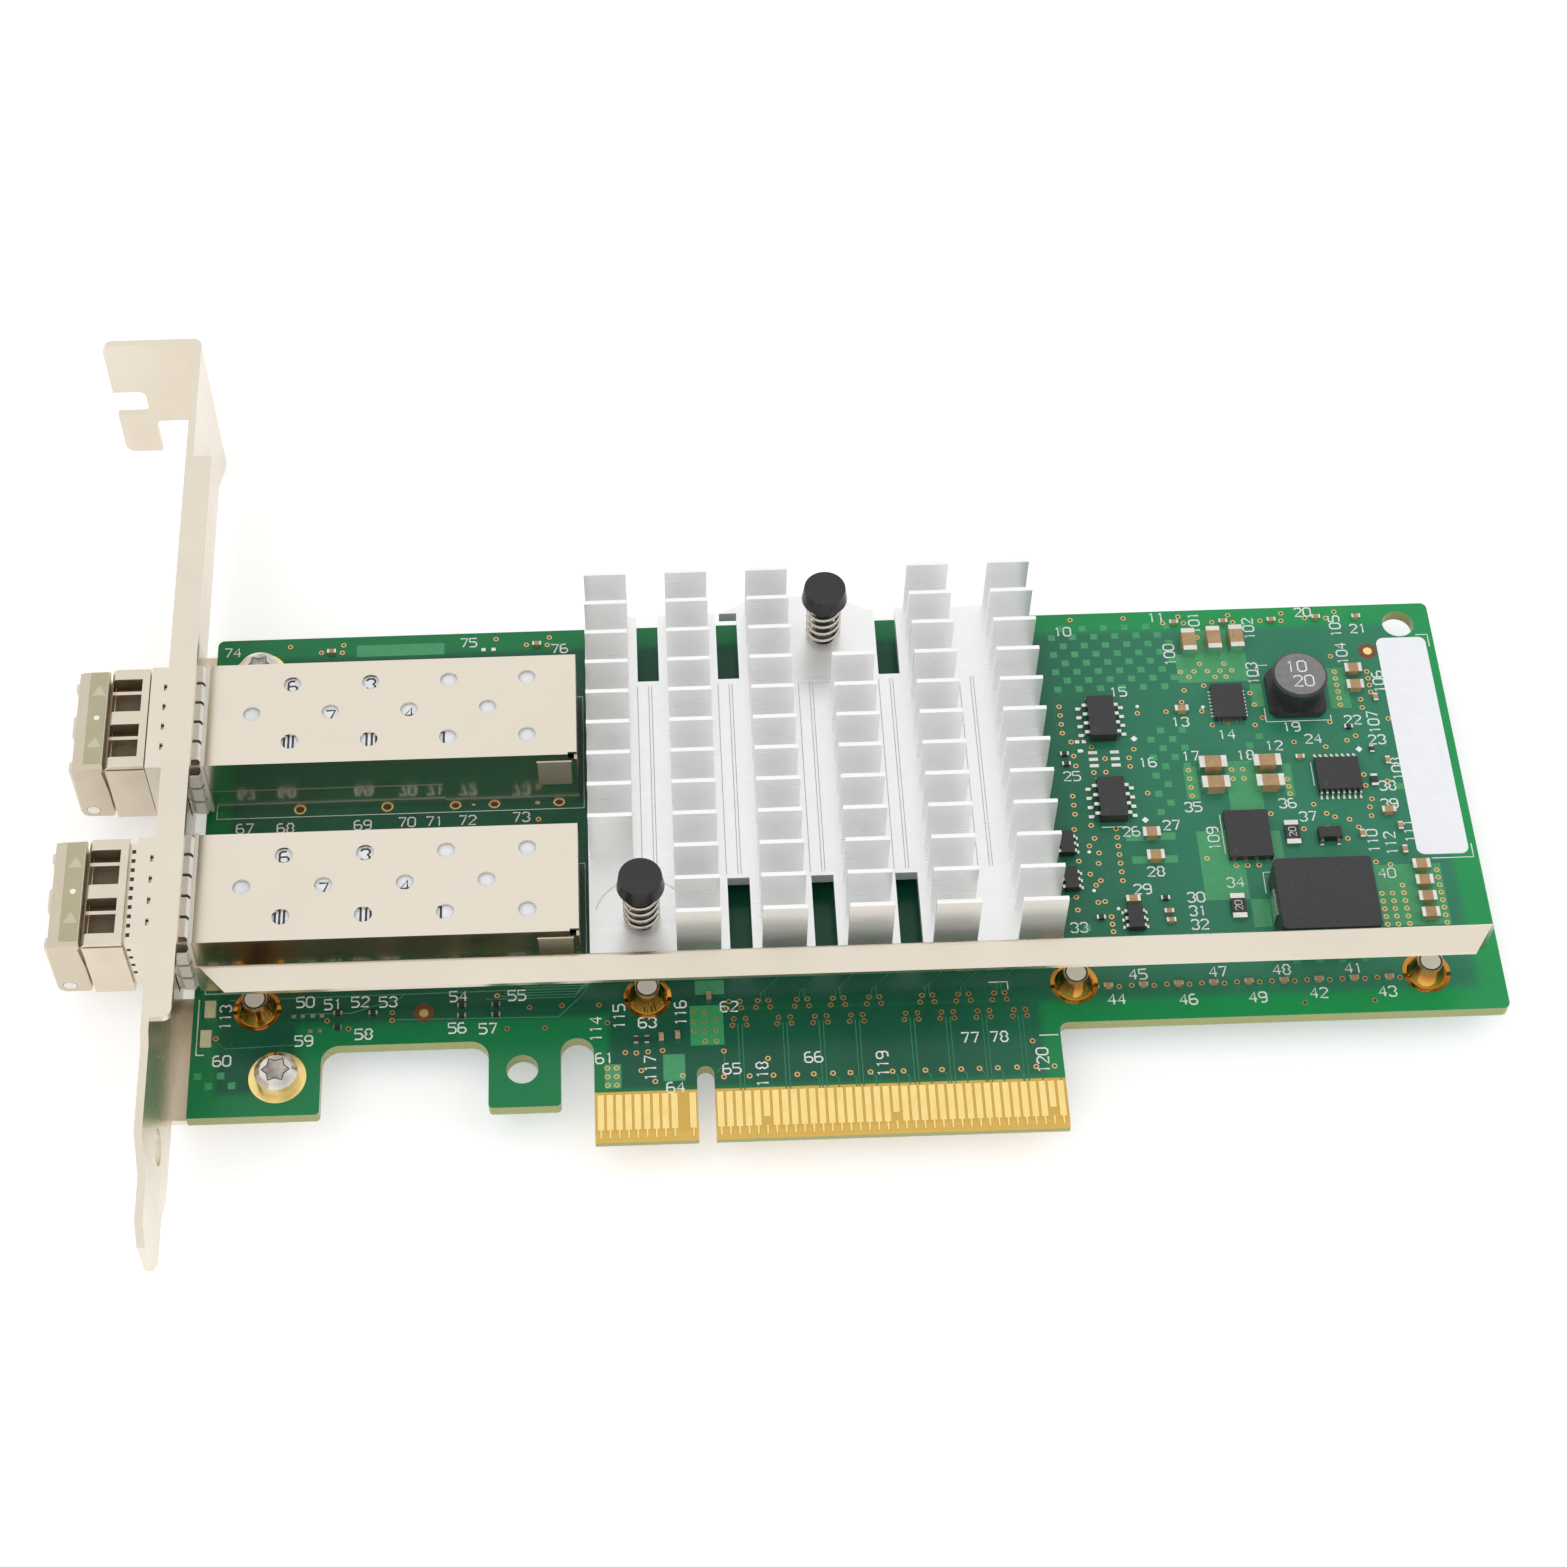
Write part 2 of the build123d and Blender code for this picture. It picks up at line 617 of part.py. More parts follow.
# Pluggable modules
shell_half = cage_inner_half - shell_clearance
shell_z0 = cage_wall + shell_clearance
shell_z1 = cage_height - cage_wall - shell_clearance
port_z1 = port_z0 + port_height
port_back_x = port_front_x + port_depth
arm_outer = module_width / 2
arm_inner = arm_outer - bail_arm_t
for suffix, yc, dx in zip(("upper", "lower"), cage_ys, module_shift):
    port_ys = (yc - port_pitch / 2, yc + port_pitch / 2)
    with BuildPart() as housing:
        block(dx + head_x0, head_x1 + dx, yc - arm_outer, yc + arm_outer, head_z0, head_z1)
        rounded = housing.edges().filter_by(Axis.Y).sort_by_distance((dx + head_x0, yc, head_z1))[0]
        fillet(rounded, head_edge_r)
        block(dx + port_front_x, head_x0 + dx + port_root, yc - port_block_half, yc + port_block_half,
              port_block_z[0], port_block_z[1])
        block(head_x1 + dx, shell_x1, yc - shell_half + cover_t, yc + shell_half - cover_t,
              shell_z0, shell_z1 - cover_t)
        block(card_x0 - card_fit, shell_x1, yc - card_width / 2 - card_fit, yc + card_width / 2 + card_fit,
              card_z0 - card_fit, card_z0 + card_t + card_fit, Mode.SUBTRACT)
        with BuildSketch(Plane.YZ.offset(dx + port_front_x)):
            for y in port_ys:
                rect(y - port_width / 2, y + port_width / 2, port_z0, port_z1)
        extrude(amount=port_depth, mode=Mode.SUBTRACT)
        with BuildSketch(Plane.XY.offset(port_z1 - port_cut)):
            for y in port_ys:
                outline((
                    (dx + port_front_x, y - port_lip_width / 2),
                    (dx + port_roof_x, y - port_lip_depth / 2),
                    (dx + port_roof_x, y + port_lip_depth / 2),
                    (dx + port_front_x, y + port_lip_width / 2),
                ))
        extrude(amount=port_block_z[1] - port_z1 + 2 * port_cut, mode=Mode.SUBTRACT)
        for y in port_ys:
            block(dx + window_x[0], dx + window_x[1], y - window_width / 2, y + window_width / 2,
                  head_z1 - window_depth, head_z1, Mode.SUBTRACT)
            block(dx + window_x[0], dx + window_x[1], y + window_width / 6, y + window_width / 6 + rib_width,
                  head_z1 - window_depth, head_z1 - window_depth / 2)
        for outer, groove in ((yc - arm_outer, head_groove), (yc + arm_outer, -head_groove)):
            low, high = sorted((outer, outer + groove))
            block(dx + head_x0, head_x1 + dx, low, high, head_groove_z, head_groove_z + head_groove,
                  Mode.SUBTRACT)
        block(latch_boss_x - latch_boss[0] / 2, latch_boss_x + latch_boss[0] / 2,
              yc - latch_boss[1] / 2, yc + latch_boss[1] / 2, shell_z0 - latch_boss[2], shell_z0)
        for side in (-1, 1):
            with BuildSketch(Plane.XZ.offset(-yc - side * port_block_half)):
                with Locations((dx + bail_pivot_x, bail_pivot_z)):
                    Circle(bail_pin_r + port_cut)
            extrude(amount=side, mode=Mode.SUBTRACT)
    housing.part.label = f"module_{suffix}"
    export_step(housing.part, f"parts/module_{suffix}.step")

    with BuildPart() as cover:
        cover_x0 = cage_x0 + shell_clearance
        block(cover_x0, cover_x1, yc - shell_half, yc + shell_half, shell_z0, shell_z1)
        block(cover_x0, cover_x1, yc - shell_half + cover_t, yc + shell_half - cover_t,
              shell_z0, shell_z1 - cover_t, Mode.SUBTRACT)
    cover.part.label = f"module_cover_{suffix}"
    export_step(cover.part, f"parts/module_cover_{suffix}.step")

    with BuildPart() as card:
        block(card_x0, card_x1, yc - card_width / 2, yc + card_width / 2, card_z0, card_z0 + card_t)
    card.part.label = f"module_card_{suffix}"
    export_step(card.part, f"parts/module_card_{suffix}.step")

    with BuildPart() as sleeves:
        for y in port_ys:
            with BuildSketch(Plane.YZ.offset(dx + port_back_x - sleeve_length)):
                with Locations((y, port_z0 + port_height / 2)):
                    Circle(sleeve_r)
                    Circle(sleeve_bore_r, mode=Mode.SUBTRACT)
            extrude(amount=sleeve_length)
    sleeves.part.label = f"port_sleeves_{suffix}"
    export_step(sleeves.part, f"parts/port_sleeves_{suffix}.step")

    with BuildPart() as bail_pins:
        for side in (-1, 1):
            with BuildSketch(Plane.XZ.offset(-yc - side * arm_outer)):
                with Locations((dx + bail_pivot_x, bail_pivot_z)):
                    Circle(bail_pin_r)
            extrude(amount=side * (bail_arm_t + arm_inner - port_block_half + bail_pin_root))
    bail_pins.part.label = f"bail_pins_{suffix}"
    export_step(bail_pins.part, f"parts/bail_pins_{suffix}.step")

    with BuildPart() as bail:
        bar_z0 = bail_bar_top - bail_bar_t
        bend_drop = bail_bend - bail_bend_t
        shoulder_z = bail_bar_top - bail_bar_t
        with BuildSketch(Plane.YZ.offset(dx + bail_arm_x[0])):
            outline((
                (yc - arm_outer, bail_arm_z0),
                (yc - arm_outer, bail_bar_top - bail_bend),
                (yc - arm_outer + bail_bend, bail_bar_top),
                (yc + arm_outer - bail_bend, bail_bar_top),
                (yc + arm_outer, bail_bar_top - bail_bend),
                (yc + arm_outer, bail_arm_z0),
                (yc + arm_inner, bail_arm_z0),
                (yc + arm_inner, bar_z0 - bend_drop),
                (yc + arm_inner - bend_drop, bar_z0),
                (yc - arm_inner + bend_drop, bar_z0),
                (yc - arm_inner, bar_z0 - bend_drop),
                (yc - arm_inner, bail_arm_z0),
            ))
        extrude(amount=bail_arm_x[1] - bail_arm_x[0])
        with BuildSketch(Plane.XZ.offset(-yc - arm_outer)) as arm_face:
            outline((
                (dx + bail_arm_x[0], bail_arm_z0),
                (dx + bail_arm_x[0] + bail_taper, shoulder_z),
                (dx + bail_bar_x[0], shoulder_z + bail_taper),
                (dx + bail_bar_x[0], bail_bar_top),
                (dx + bail_bar_x[1], bail_bar_top),
                (dx + bail_bar_x[1], shoulder_z),
                (dx + bail_arm_x[1] - bail_taper, shoulder_z - bail_bar_t),
                (dx + bail_arm_x[1], bail_bar_top / 2),
                (dx + bail_arm_x[1], bail_arm_z0),
            ))
            fillet(nearest(arm_face, dx + bail_arm_x[0], bail_arm_z0), small_corner_r)
            fillet(nearest(arm_face, dx + bail_arm_x[1], bail_arm_z0), small_corner_r / 2)
            with Locations((dx + bail_pivot_x, bail_pivot_z)):
                Circle(bail_pin_r + bail_pin_fit, mode=Mode.SUBTRACT)
        extrude(amount=2 * arm_outer, mode=Mode.INTERSECT)
    bail.part.label = f"bail_{suffix}"
    export_step(bail.part, f"parts/bail_{suffix}.step")

# Spring ring behind the lower module's head, which stands a little further out
ring_dx = module_shift[1]
ring_y = cage_ys[1]
with BuildPart() as head_ring:
    ring_x0 = head_x1 + ring_dx + head_ring_gap
    ring_x1 = cage_x0 - head_ring_seat
    ring_half = shell_half - cover_t + head_ring_seat
    ring_low = shell_z0 - head_ring_seat
    ring_high = shell_z1 - cover_t + head_ring_seat
    block(ring_x0, ring_x1, ring_y - ring_half - head_ring_t, ring_y + ring_half + head_ring_t,
          ring_low - head_ring_t, ring_high + head_ring_t)
    block(ring_x0, ring_x1, ring_y - ring_half, ring_y + ring_half, ring_low, ring_high, Mode.SUBTRACT)
    slot_x1 = ring_x1 - head_ring_band
    for i in range(head_ring_slots):
        y = ring_y + head_ring_pitch * (i - (head_ring_slots - 1) / 2)
        block(ring_x0, slot_x1, y - head_ring_slot / 2, y + head_ring_slot / 2,
              ring_high, ring_high + head_ring_t, Mode.SUBTRACT)
    for z in head_ring_side_zs:
        block(ring_x0, slot_x1, ring_y - ring_half - head_ring_t, ring_y + ring_half + head_ring_t,
              z - head_ring_slot / 2, z + head_ring_slot / 2, Mode.SUBTRACT)
head_ring.part.label = "module_ring_lower"
export_step(head_ring.part, "parts/module_ring_lower.step")

# Heat sink: a plate with rows of upright fins
sink_top = sink_z0 + sink_base_t
channel_xs = [sink_x0 + fin_inset + fin_width + (fin_pitch_x - fin_width) / 2 + fin_pitch_x * i
              for i in range(fin_columns - 1)]
pin_keepout = spring_r + spring_wire_r + fin_t
with BuildPart() as heat_sink:
    with BuildSketch(Plane.XY.offset(sink_z0)):
        rect(sink_x0, sink_x1, sink_y0, sink_y1)
        outline((
            (ear_x[0], sink_y1),
            (ear_x[1], sink_y1 + ear_depth),
            (ear_x[2], sink_y1 + ear_depth),
            (ear_x[3], sink_y1),
        ))
        for i in (0, 1, 3):
            rect(channel_xs[i] - sink_slot_width / 2, channel_xs[i] + sink_slot_width / 2,
                 sink_y1 - sink_slot_length, sink_y1, Mode.SUBTRACT)
        for i in (1, 2, 3):
            rect(channel_xs[i] - sink_slot_width / 2, channel_xs[i] + sink_slot_width / 2,
                 sink_y0, sink_y0 + sink_slot_length, Mode.SUBTRACT)
        with Locations(*pin_xy):
            Circle(pin_hole_r, mode=Mode.SUBTRACT)
    extrude(amount=sink_base_t)
    with BuildSketch(Plane.XY.offset(sink_top)):
        for column in range(fin_columns):
            x = sink_x0 + fin_inset + fin_pitch_x * column
            for row in range(fin_rows):
                y = sink_y0 + fin_pitch_y * row
                beside_pin = any(
                    x - pin_keepout < px < x + fin_width + pin_keepout
                    and abs(y - py) < pin_row_share * fin_pitch_y
                    for px, py in pin_xy
                )
                if not beside_pin:
                    rect(x, x + fin_width, y, y + fin_t)
    extrude(amount=fin_height)
heat_sink.part.label = "heat_sink"
export_step(heat_sink.part, "parts/heat_sink.step")

# Controller chip and thermal pad under the heat sink
chip_x, chip_y = chip_centre
chip_lid_z = sink_z0 - pad_t
with BuildPart() as controller:
    half = chip_size / 2
    block(chip_x - half, chip_x + half, chip_y - half, chip_y + half, 0, chip_substrate_t)
    lid = chip_lid_size / 2
    block(chip_x - lid, chip_x + lid, chip_y - lid, chip_y + lid, chip_substrate_t, chip_lid_z)
controller.part.label = "controller"
export_step(controller.part, "parts/controller.step")

with BuildPart() as thermal_pad:
    half = chip_lid_size / 2
    block(chip_x - half, chip_x + half, chip_y - half, chip_y + half, chip_lid_z, sink_z0)
thermal_pad.part.label = "thermal_pad"
export_step(thermal_pad.part, "parts/thermal_pad.step")

# Push pins with split barbs, and their coil springs
pin_cap_z0 = pin_top - pin_cap_h
pin_barb_top = -board_t - pin_barb_gap
pin_tip_z = pin_barb_top - pin_barb_h
for name, (x, y) in zip(("push_pin_upper", "push_pin_lower"), pin_xy):
    with BuildPart() as push_pin:
        with BuildSketch(Plane.XZ.offset(-y)):
            outline((
                (x, pin_tip_z),
                (x + pin_tip_r, pin_tip_z),
                (x + pin_barb_r, pin_barb_top),
                (x + pin_shank_r, pin_barb_top),
                (x + pin_shank_r, pin_cap_z0),
                (x + pin_cap_r, pin_cap_z0),
                (x + pin_crown_r, pin_top),
                (x, pin_top),
            ))
        revolve(axis=Axis((x, y, 0), (0, 0, 1)))
        block(x - pin_split / 2, x + pin_split / 2, y - pin_barb_r, y + pin_barb_r, pin_tip_z, sink_z0,
              Mode.SUBTRACT)
    push_pin.part.label = name
    export_step(push_pin.part, f"parts/{name}.step")

spring_z0 = sink_top + spring_wire_r + spring_end_gap
spring_z1 = pin_cap_z0 - spring_wire_r - spring_end_gap
for name, (x, y) in zip(("spring_upper", "spring_lower"), pin_xy):
    with BuildPart() as spring:
        with BuildLine() as coil:
            Helix(
                pitch=(spring_z1 - spring_z0) / spring_turns,
                height=spring_z1 - spring_z0,
                radius=spring_r,
                center=(x, y, spring_z0),
            )
        with BuildSketch(Plane(origin=coil.line @ 0, z_dir=coil.line % 0)):
            RegularPolygon(spring_wire_r, spring_wire_sides)
        sweep(is_frenet=True)
    spring.part.label = name
    export_step(spring.part, f"parts/{name}.step")


def gull_lead(edge, side, along, place, reach, height):
    """Give the plane and the outline of one bent lead that leaves a chip's side and lands on the board."""
    plane = Plane.XZ.offset(-place) if along == "x" else Plane.YZ.offset(place)
    foot = edge + side * reach
    knee = edge + side * reach * knee_share
    return plane, (
        (edge, height + lead_t),
        (knee, height + lead_t),
        (knee + side * lead_t, lead_t),
        (foot, lead_t),
        (foot, 0),
        (knee, 0),
        (knee - side * lead_t, height),
        (edge, height),
    )


# Small-outline chips with leads on the two X sides
soic_x = (46.5, 49.6)
soic_ys = ((50.1, 55.7), (38.8, 44.2))
soic_h = 1.5
soic_lead_reach = 1.25
soic_lead_width = 0.42
soic_leads_a_side = 4
soic_pitch = 1.27
soic_stand = 0.12
with BuildPart() as soic_bodies:
    for y0, y1 in soic_ys:
        block(soic_x[0], soic_x[1], y0, y1, soic_stand, soic_h)
soic_bodies.part.label = "soic_bodies"
export_step(soic_bodies.part, "parts/soic_bodies.step")

soic_lead_places = [(y0 + y1) / 2 + soic_pitch * (i - (soic_leads_a_side - 1) / 2)
                    for y0, y1 in soic_ys for i in range(soic_leads_a_side)]
with BuildPart() as soic_leads:
    for place in soic_lead_places:
        for edge, side in ((soic_x[0], -1), (soic_x[1], 1)):
            plane, points = gull_lead(edge, side, "x", place, soic_lead_reach, soic_h / 2)
            with BuildSketch(plane):
                outline(points)
            extrude(amount=soic_lead_width / 2, both=True)
soic_leads.part.label = "soic_leads"
export_step(soic_leads.part, "parts/soic_leads.step")

# Thin chip with eight leads on each Y side
tssop_x = (72.1, 77.1)
tssop_y = (41.9, 46.3)
tssop_h = 1.0
tssop_stand = 0.1
tssop_leads_a_side = 8
tssop_pitch = 0.65
tssop_lead_reach = 0.95
tssop_lead_z = 0.45
tssop_lead_width = 0.25
with BuildPart() as tssop_body:
    block(tssop_x[0], tssop_x[1], tssop_y[0], tssop_y[1], tssop_stand, tssop_h)
tssop_body.part.label = "tssop_body"
export_step(tssop_body.part, "parts/tssop_body.step")

tssop_mid = (tssop_leads_a_side - 1) / 2
tssop_lead_places = [sum(tssop_x) / 2 + tssop_pitch * (i - tssop_mid) for i in range(tssop_leads_a_side)]
with BuildPart() as tssop_leads:
    for place in tssop_lead_places:
        for edge, side in ((tssop_y[0], -1), (tssop_y[1], 1)):
            plane, points = gull_lead(edge, side, "y", place, tssop_lead_reach, tssop_lead_z)
            with BuildSketch(plane):
                outline(points)
            extrude(amount=tssop_lead_width / 2, both=True)
tssop_leads.part.label = "tssop_leads"
export_step(tssop_leads.part, "parts/tssop_leads.step")

# Leadless chips
qfn_places = ((61.4, 65.1, 52.5, 57.3), (60.6, 65.6, 33.1, 39.4))
qfn_h = 0.9
with BuildPart() as qfn_bodies:
    for x0, x1, y0, y1 in qfn_places:
        block(x0, x1, y0, y1, 0, qfn_h)
qfn_bodies.part.label = "qfn_bodies"
export_step(qfn_bodies.part, "parts/qfn_bodies.step")

# Small transistor and regulator packages, with their leads
sot_places = (
    (72.4, 36.0, 2.6, 1.4),
    (42.3, 35.8, 1.5, 2.9),
    (42.3, 31.0, 1.5, 2.8),
    (49.0, 25.6, 1.7, 2.9),
)
sot_h = 1.05
sot_stand = 0.1
sot_pitch = 0.95
sot_lead_reach = 0.6
sot_lead_z = 0.45
sot_lead_width = 0.4
with BuildPart() as sot_bodies:
    for x, y, length, width in sot_places:
        block(x - length / 2, x + length / 2, y - width / 2, y + width / 2, sot_stand, sot_h)
sot_bodies.part.label = "sot_bodies"
export_step(sot_bodies.part, "parts/sot_bodies.step")

x, y, length, width = sot_places[0]
sot_lead_specs = [(y - width / 2, -1, "y", x + step) for step in (-sot_pitch, sot_pitch)]
sot_lead_specs += [(y + width / 2, 1, "y", x)]
for x, y, length, width in sot_places[1:]:
    for step in (-sot_pitch, 0, sot_pitch):
        sot_lead_specs += [(x + side * length / 2, side, "x", y + step) for side in (-1, 1)]
with BuildPart() as sot_leads:
    for edge, side, along, place in sot_lead_specs:
        plane, points = gull_lead(edge, side, along, place, sot_lead_reach, sot_lead_z)
        with BuildSketch(plane):
            outline(points)
        extrude(amount=sot_lead_width / 2, both=True)
sot_leads.part.label = "sot_leads"
export_step(sot_leads.part, "parts/sot_leads.step")

# Drum inductor: a square foot, a core and a round top flange
drum_x = 71.3
drum_y = 55.9
drum_foot = 6.6
drum_foot_h = 1.1
drum_h = 4.3
drum_r = 3.25
drum_core_r = 2.75
drum_flange_t = 1.0
drum_foot_bevel = 0.8
drum_rim_bevel = 0.25
with BuildPart() as drum_inductor:
    half = drum_foot / 2
    block(drum_x - half, drum_x + half, drum_y - half, drum_y + half, 0, drum_foot_h)
    chamfer(drum_inductor.edges().filter_by(Axis.Z), drum_foot_bevel)
    post(drum_x, drum_y, drum_foot_h, drum_h, drum_core_r)
    post(drum_x, drum_y, drum_h - drum_flange_t, drum_h, drum_r)
    chamfer(drum_inductor.edges().filter_by(GeomType.CIRCLE).group_by(Axis.Z)[-1], drum_rim_bevel)
drum_inductor.part.label = "drum_inductor"
export_step(drum_inductor.part, "parts/drum_inductor.step")

# Moulded power inductor with folded end terminals
choke_x = (64.6, 75.6)
choke_y = (21.5, 30.7)
choke_h = 4.0
choke_stand = 0.15
choke_corner_r = 0.5
choke_tab_width = 3.4
choke_tab_length = 1.6
choke_tab_h = 2.2
with BuildPart() as choke_body:
    block(choke_x[0], choke_x[1], choke_y[0], choke_y[1], choke_stand, choke_h)
    fillet(choke_body.edges().filter_by(Axis.Z), choke_corner_r)
choke_body.part.label = "choke_body"
export_step(choke_body.part, "parts/choke_body.step")

with BuildPart() as choke_terminals:
    mid = (choke_y[0] + choke_y[1]) / 2
    for x, side in ((choke_x[0], -1), (choke_x[1], 1)):
        outer = x + side * choke_stand
        inner = x - side * choke_tab_length
        low, high = sorted((outer, x))
        block(low, high, mid - choke_tab_width / 2, mid + choke_tab_width / 2, 0, choke_tab_h)
        low, high = sorted((outer, inner))
        block(low, high, mid - choke_tab_width / 2, mid + choke_tab_width / 2, 0, choke_stand)
choke_terminals.part.label = "choke_terminals"
export_step(choke_terminals.part, "parts/choke_terminals.step")

# Two-terminal parts, each as its centre, its size and the axis that its length runs along
large_cap = (3.2, 1.6, 1.45)
medium_cap = (2.0, 1.25, 0.9)
small_cap = (1.6, 0.8, 0.8)
tiny_cap = (1.05, 0.55, 0.5)
large_resistor = (3.2, 1.6, 0.6)
small_resistor = (1.6, 0.8, 0.5)
tiny_resistor = (1.0, 0.5, 0.4)
medium_row_pitch = 2.15
tiny_row_pitch = 3.9
capacitors = (
    (large_cap, "y", ((59.6, 63.6), (62.6, 63.8), (65.3, 63.9))),
    (large_cap, "x", [(x, y) for x in (60.2, 66.5) for y in (45.9, 43.1)]),
    (medium_cap, "x", [(82.1, 25.0 + medium_row_pitch * i) for i in range(4)]),
    (medium_cap, "x", ((52.1, 36.9), (52.2, 33.8), (78.6, 59.1), (78.5, 56.7))),
    (small_cap, "x", ((57.65, 54.1), (49.0, 28.1), (79.65, 39.0))),
    (tiny_cap, "x", [(76.2 - tiny_row_pitch * i, 17.1) for i in range(9)]),
    (tiny_cap, "x", ((58.3, 67.0), (64.2, 66.9), (70.0, 66.9), (75.4, 67.1), (80.2, 67.0))),
    (tiny_cap, "x", ((70.6, 46.9), (52.9, 26.5), (53.0, 25.3), (-42.8, 66.6), (-18.2, 66.8), (-11.8, 66.9))),
    (tiny_cap, "y", ((80.7, 55.0), (80.7, 46.0), (80.7, 36.9), (76.2, 36.0), (80.7, 33.7))),
    (tiny_cap, "y", ((-4.7, 12.4), (-2.9, 12.6), (0.7, 17.4))),
)
resistors = (
    (large_resistor, "y", ((60.75, 26.8), (68.2, 36.4))),
    (small_resistor, "y", ((78.7, 43.3),)),
    (tiny_resistor, "x", ((45.2, 26.0), (76.9, 51.0), (43.3, 48.4), (43.4, 47.0), (52.7, 28.3))),
    (tiny_resistor, "x", ((-40.4, 16.8), (-36.5, 16.7), (-40.4, 15.0))),
    (tiny_resistor, "x", [(x, y) for x in (-26.7, -22.9) for y in (17.3, 16.0)]),
    (tiny_resistor, "y", ((79.1, 47.7), (-7.5, 12.2), (-6.3, 12.2))),
)
end_share = 0.2


def chip_parts(groups, ends):
    """Add the bodies or the plated ends of groups of two-terminal parts."""
    for (length, width, height), along, places in groups:
        end = end_share * length
        spans = ((-length / 2, end - length / 2), (length / 2 - end, length / 2))
        if not ends:
            spans = ((end - length / 2, length / 2 - end),)
        for x, y in places:
            for low, high in spans:
                if along == "x":
                    block(x + low, x + high, y - width / 2, y + width / 2, 0, height)
                else:
                    block(x - width / 2, x + width / 2, y + low, y + high, 0, height)


for name, groups, ends in (
    ("capacitor_bodies", capacitors, False),
    ("capacitor_ends", capacitors, True),
    ("resistor_bodies", resistors, False),
    ("resistor_ends", resistors, True),
):
    with BuildPart() as passives:
        chip_parts(groups, ends)
    passives.part.label = name
    export_step(passives.part, f"parts/{name}.step")

# Indicator lamps at the bracket end of the board
led_places = ((-54.5, 17.6), (-54.8, 13.9))
led_size = (1.2, 2.0, 0.8)
with BuildPart() as indicator_lamps:
    for x, y in led_places:
        with Locations((x, y, led_size[2] / 2)):
            Box(*led_size)
indicator_lamps.part.label = "indicator_lamps"
export_step(indicator_lamps.part, "parts/indicator_lamps.step")

# Blank label on the board
label_x = (82.1, 88.0)
label_y = (33.1, 63.8)
label_t = 0.1
label_corner_r = 0.9
with BuildPart() as blank_label:
    with BuildSketch():
        with Locations((sum(label_x) / 2, sum(label_y) / 2)):
            RectangleRounded(label_x[1] - label_x[0], label_y[1] - label_y[0], label_corner_r)
    extrude(amount=label_t)
blank_label.part.label = "blank_label"
export_step(blank_label.part, "parts/blank_label.step")
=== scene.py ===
import math

import bmesh
import bpy
from mathutils import Matrix, Vector


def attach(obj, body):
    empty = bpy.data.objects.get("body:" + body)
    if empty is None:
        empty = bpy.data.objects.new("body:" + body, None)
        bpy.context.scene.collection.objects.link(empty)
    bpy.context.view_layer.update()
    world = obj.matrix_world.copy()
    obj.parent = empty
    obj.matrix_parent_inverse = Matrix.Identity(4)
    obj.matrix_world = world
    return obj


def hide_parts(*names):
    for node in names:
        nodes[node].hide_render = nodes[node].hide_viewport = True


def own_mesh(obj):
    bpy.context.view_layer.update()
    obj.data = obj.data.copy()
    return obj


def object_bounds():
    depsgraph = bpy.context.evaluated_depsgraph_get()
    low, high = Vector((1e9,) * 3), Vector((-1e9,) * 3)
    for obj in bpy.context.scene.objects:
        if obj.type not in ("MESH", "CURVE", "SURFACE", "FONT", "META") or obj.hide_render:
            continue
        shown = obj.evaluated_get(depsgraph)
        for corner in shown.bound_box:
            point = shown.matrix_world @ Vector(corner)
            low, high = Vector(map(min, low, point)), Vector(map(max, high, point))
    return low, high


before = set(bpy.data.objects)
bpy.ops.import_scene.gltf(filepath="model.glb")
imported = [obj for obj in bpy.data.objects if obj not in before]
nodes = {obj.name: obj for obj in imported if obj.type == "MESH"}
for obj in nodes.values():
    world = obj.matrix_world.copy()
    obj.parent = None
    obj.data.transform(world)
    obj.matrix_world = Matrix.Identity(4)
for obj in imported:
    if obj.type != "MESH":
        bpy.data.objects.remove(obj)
cad_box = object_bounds()
MM = 0.001


# Materials

def new_material(name, color, roughness, metallic=0.0, coat=0.0):
    """Start a material with constant values on its shader; returns the material, its tree and its shader."""
    material = bpy.data.materials.new(name)
    material.use_nodes = True
    tree = material.node_tree
    shader = tree.nodes["Principled BSDF"]
    shader.inputs["Base Color"].default_value = (*color, 1.0)
    shader.inputs["Roughness"].default_value = roughness
    shader.inputs["Metallic"].default_value = metallic
    shader.inputs["Coat Weight"].default_value = coat
    return material, tree, shader


def link(tree, out_socket, in_socket):
    """Join two sockets of a material's tree."""
    tree.links.new(out_socket, in_socket)


def coordinates(tree, stretch=(1.0, 1.0, 1.0)):
    """Object coordinates in metres, scaled along the axes."""
    source = tree.nodes.new("ShaderNodeTexCoord")
    mapping = tree.nodes.new("ShaderNodeMapping")
    mapping.inputs["Scale"].default_value = stretch
    link(tree, source.outputs["Object"], mapping.inputs["Vector"])
    return mapping.outputs["Vector"]


def noise(tree, vector, scale, detail=3.0):
    """Soft random clouds between nought and one."""
    texture = tree.nodes.new("ShaderNodeTexNoise")
    texture.inputs["Scale"].default_value = scale
    texture.inputs["Detail"].default_value = detail
    link(tree, vector, texture.inputs["Vector"])
    return texture.outputs["Fac"]


def spread(tree, value, low, high, start=0.3, end=0.7):
    """Map a value between start and end onto low to high."""
    node = tree.nodes.new("ShaderNodeMapRange")
    node.inputs["From Min"].default_value = start
    node.inputs["From Max"].default_value = end
    node.inputs["To Min"].default_value = low
    node.inputs["To Max"].default_value = high
    link(tree, value, node.inputs["Value"])
    return node.outputs["Result"]


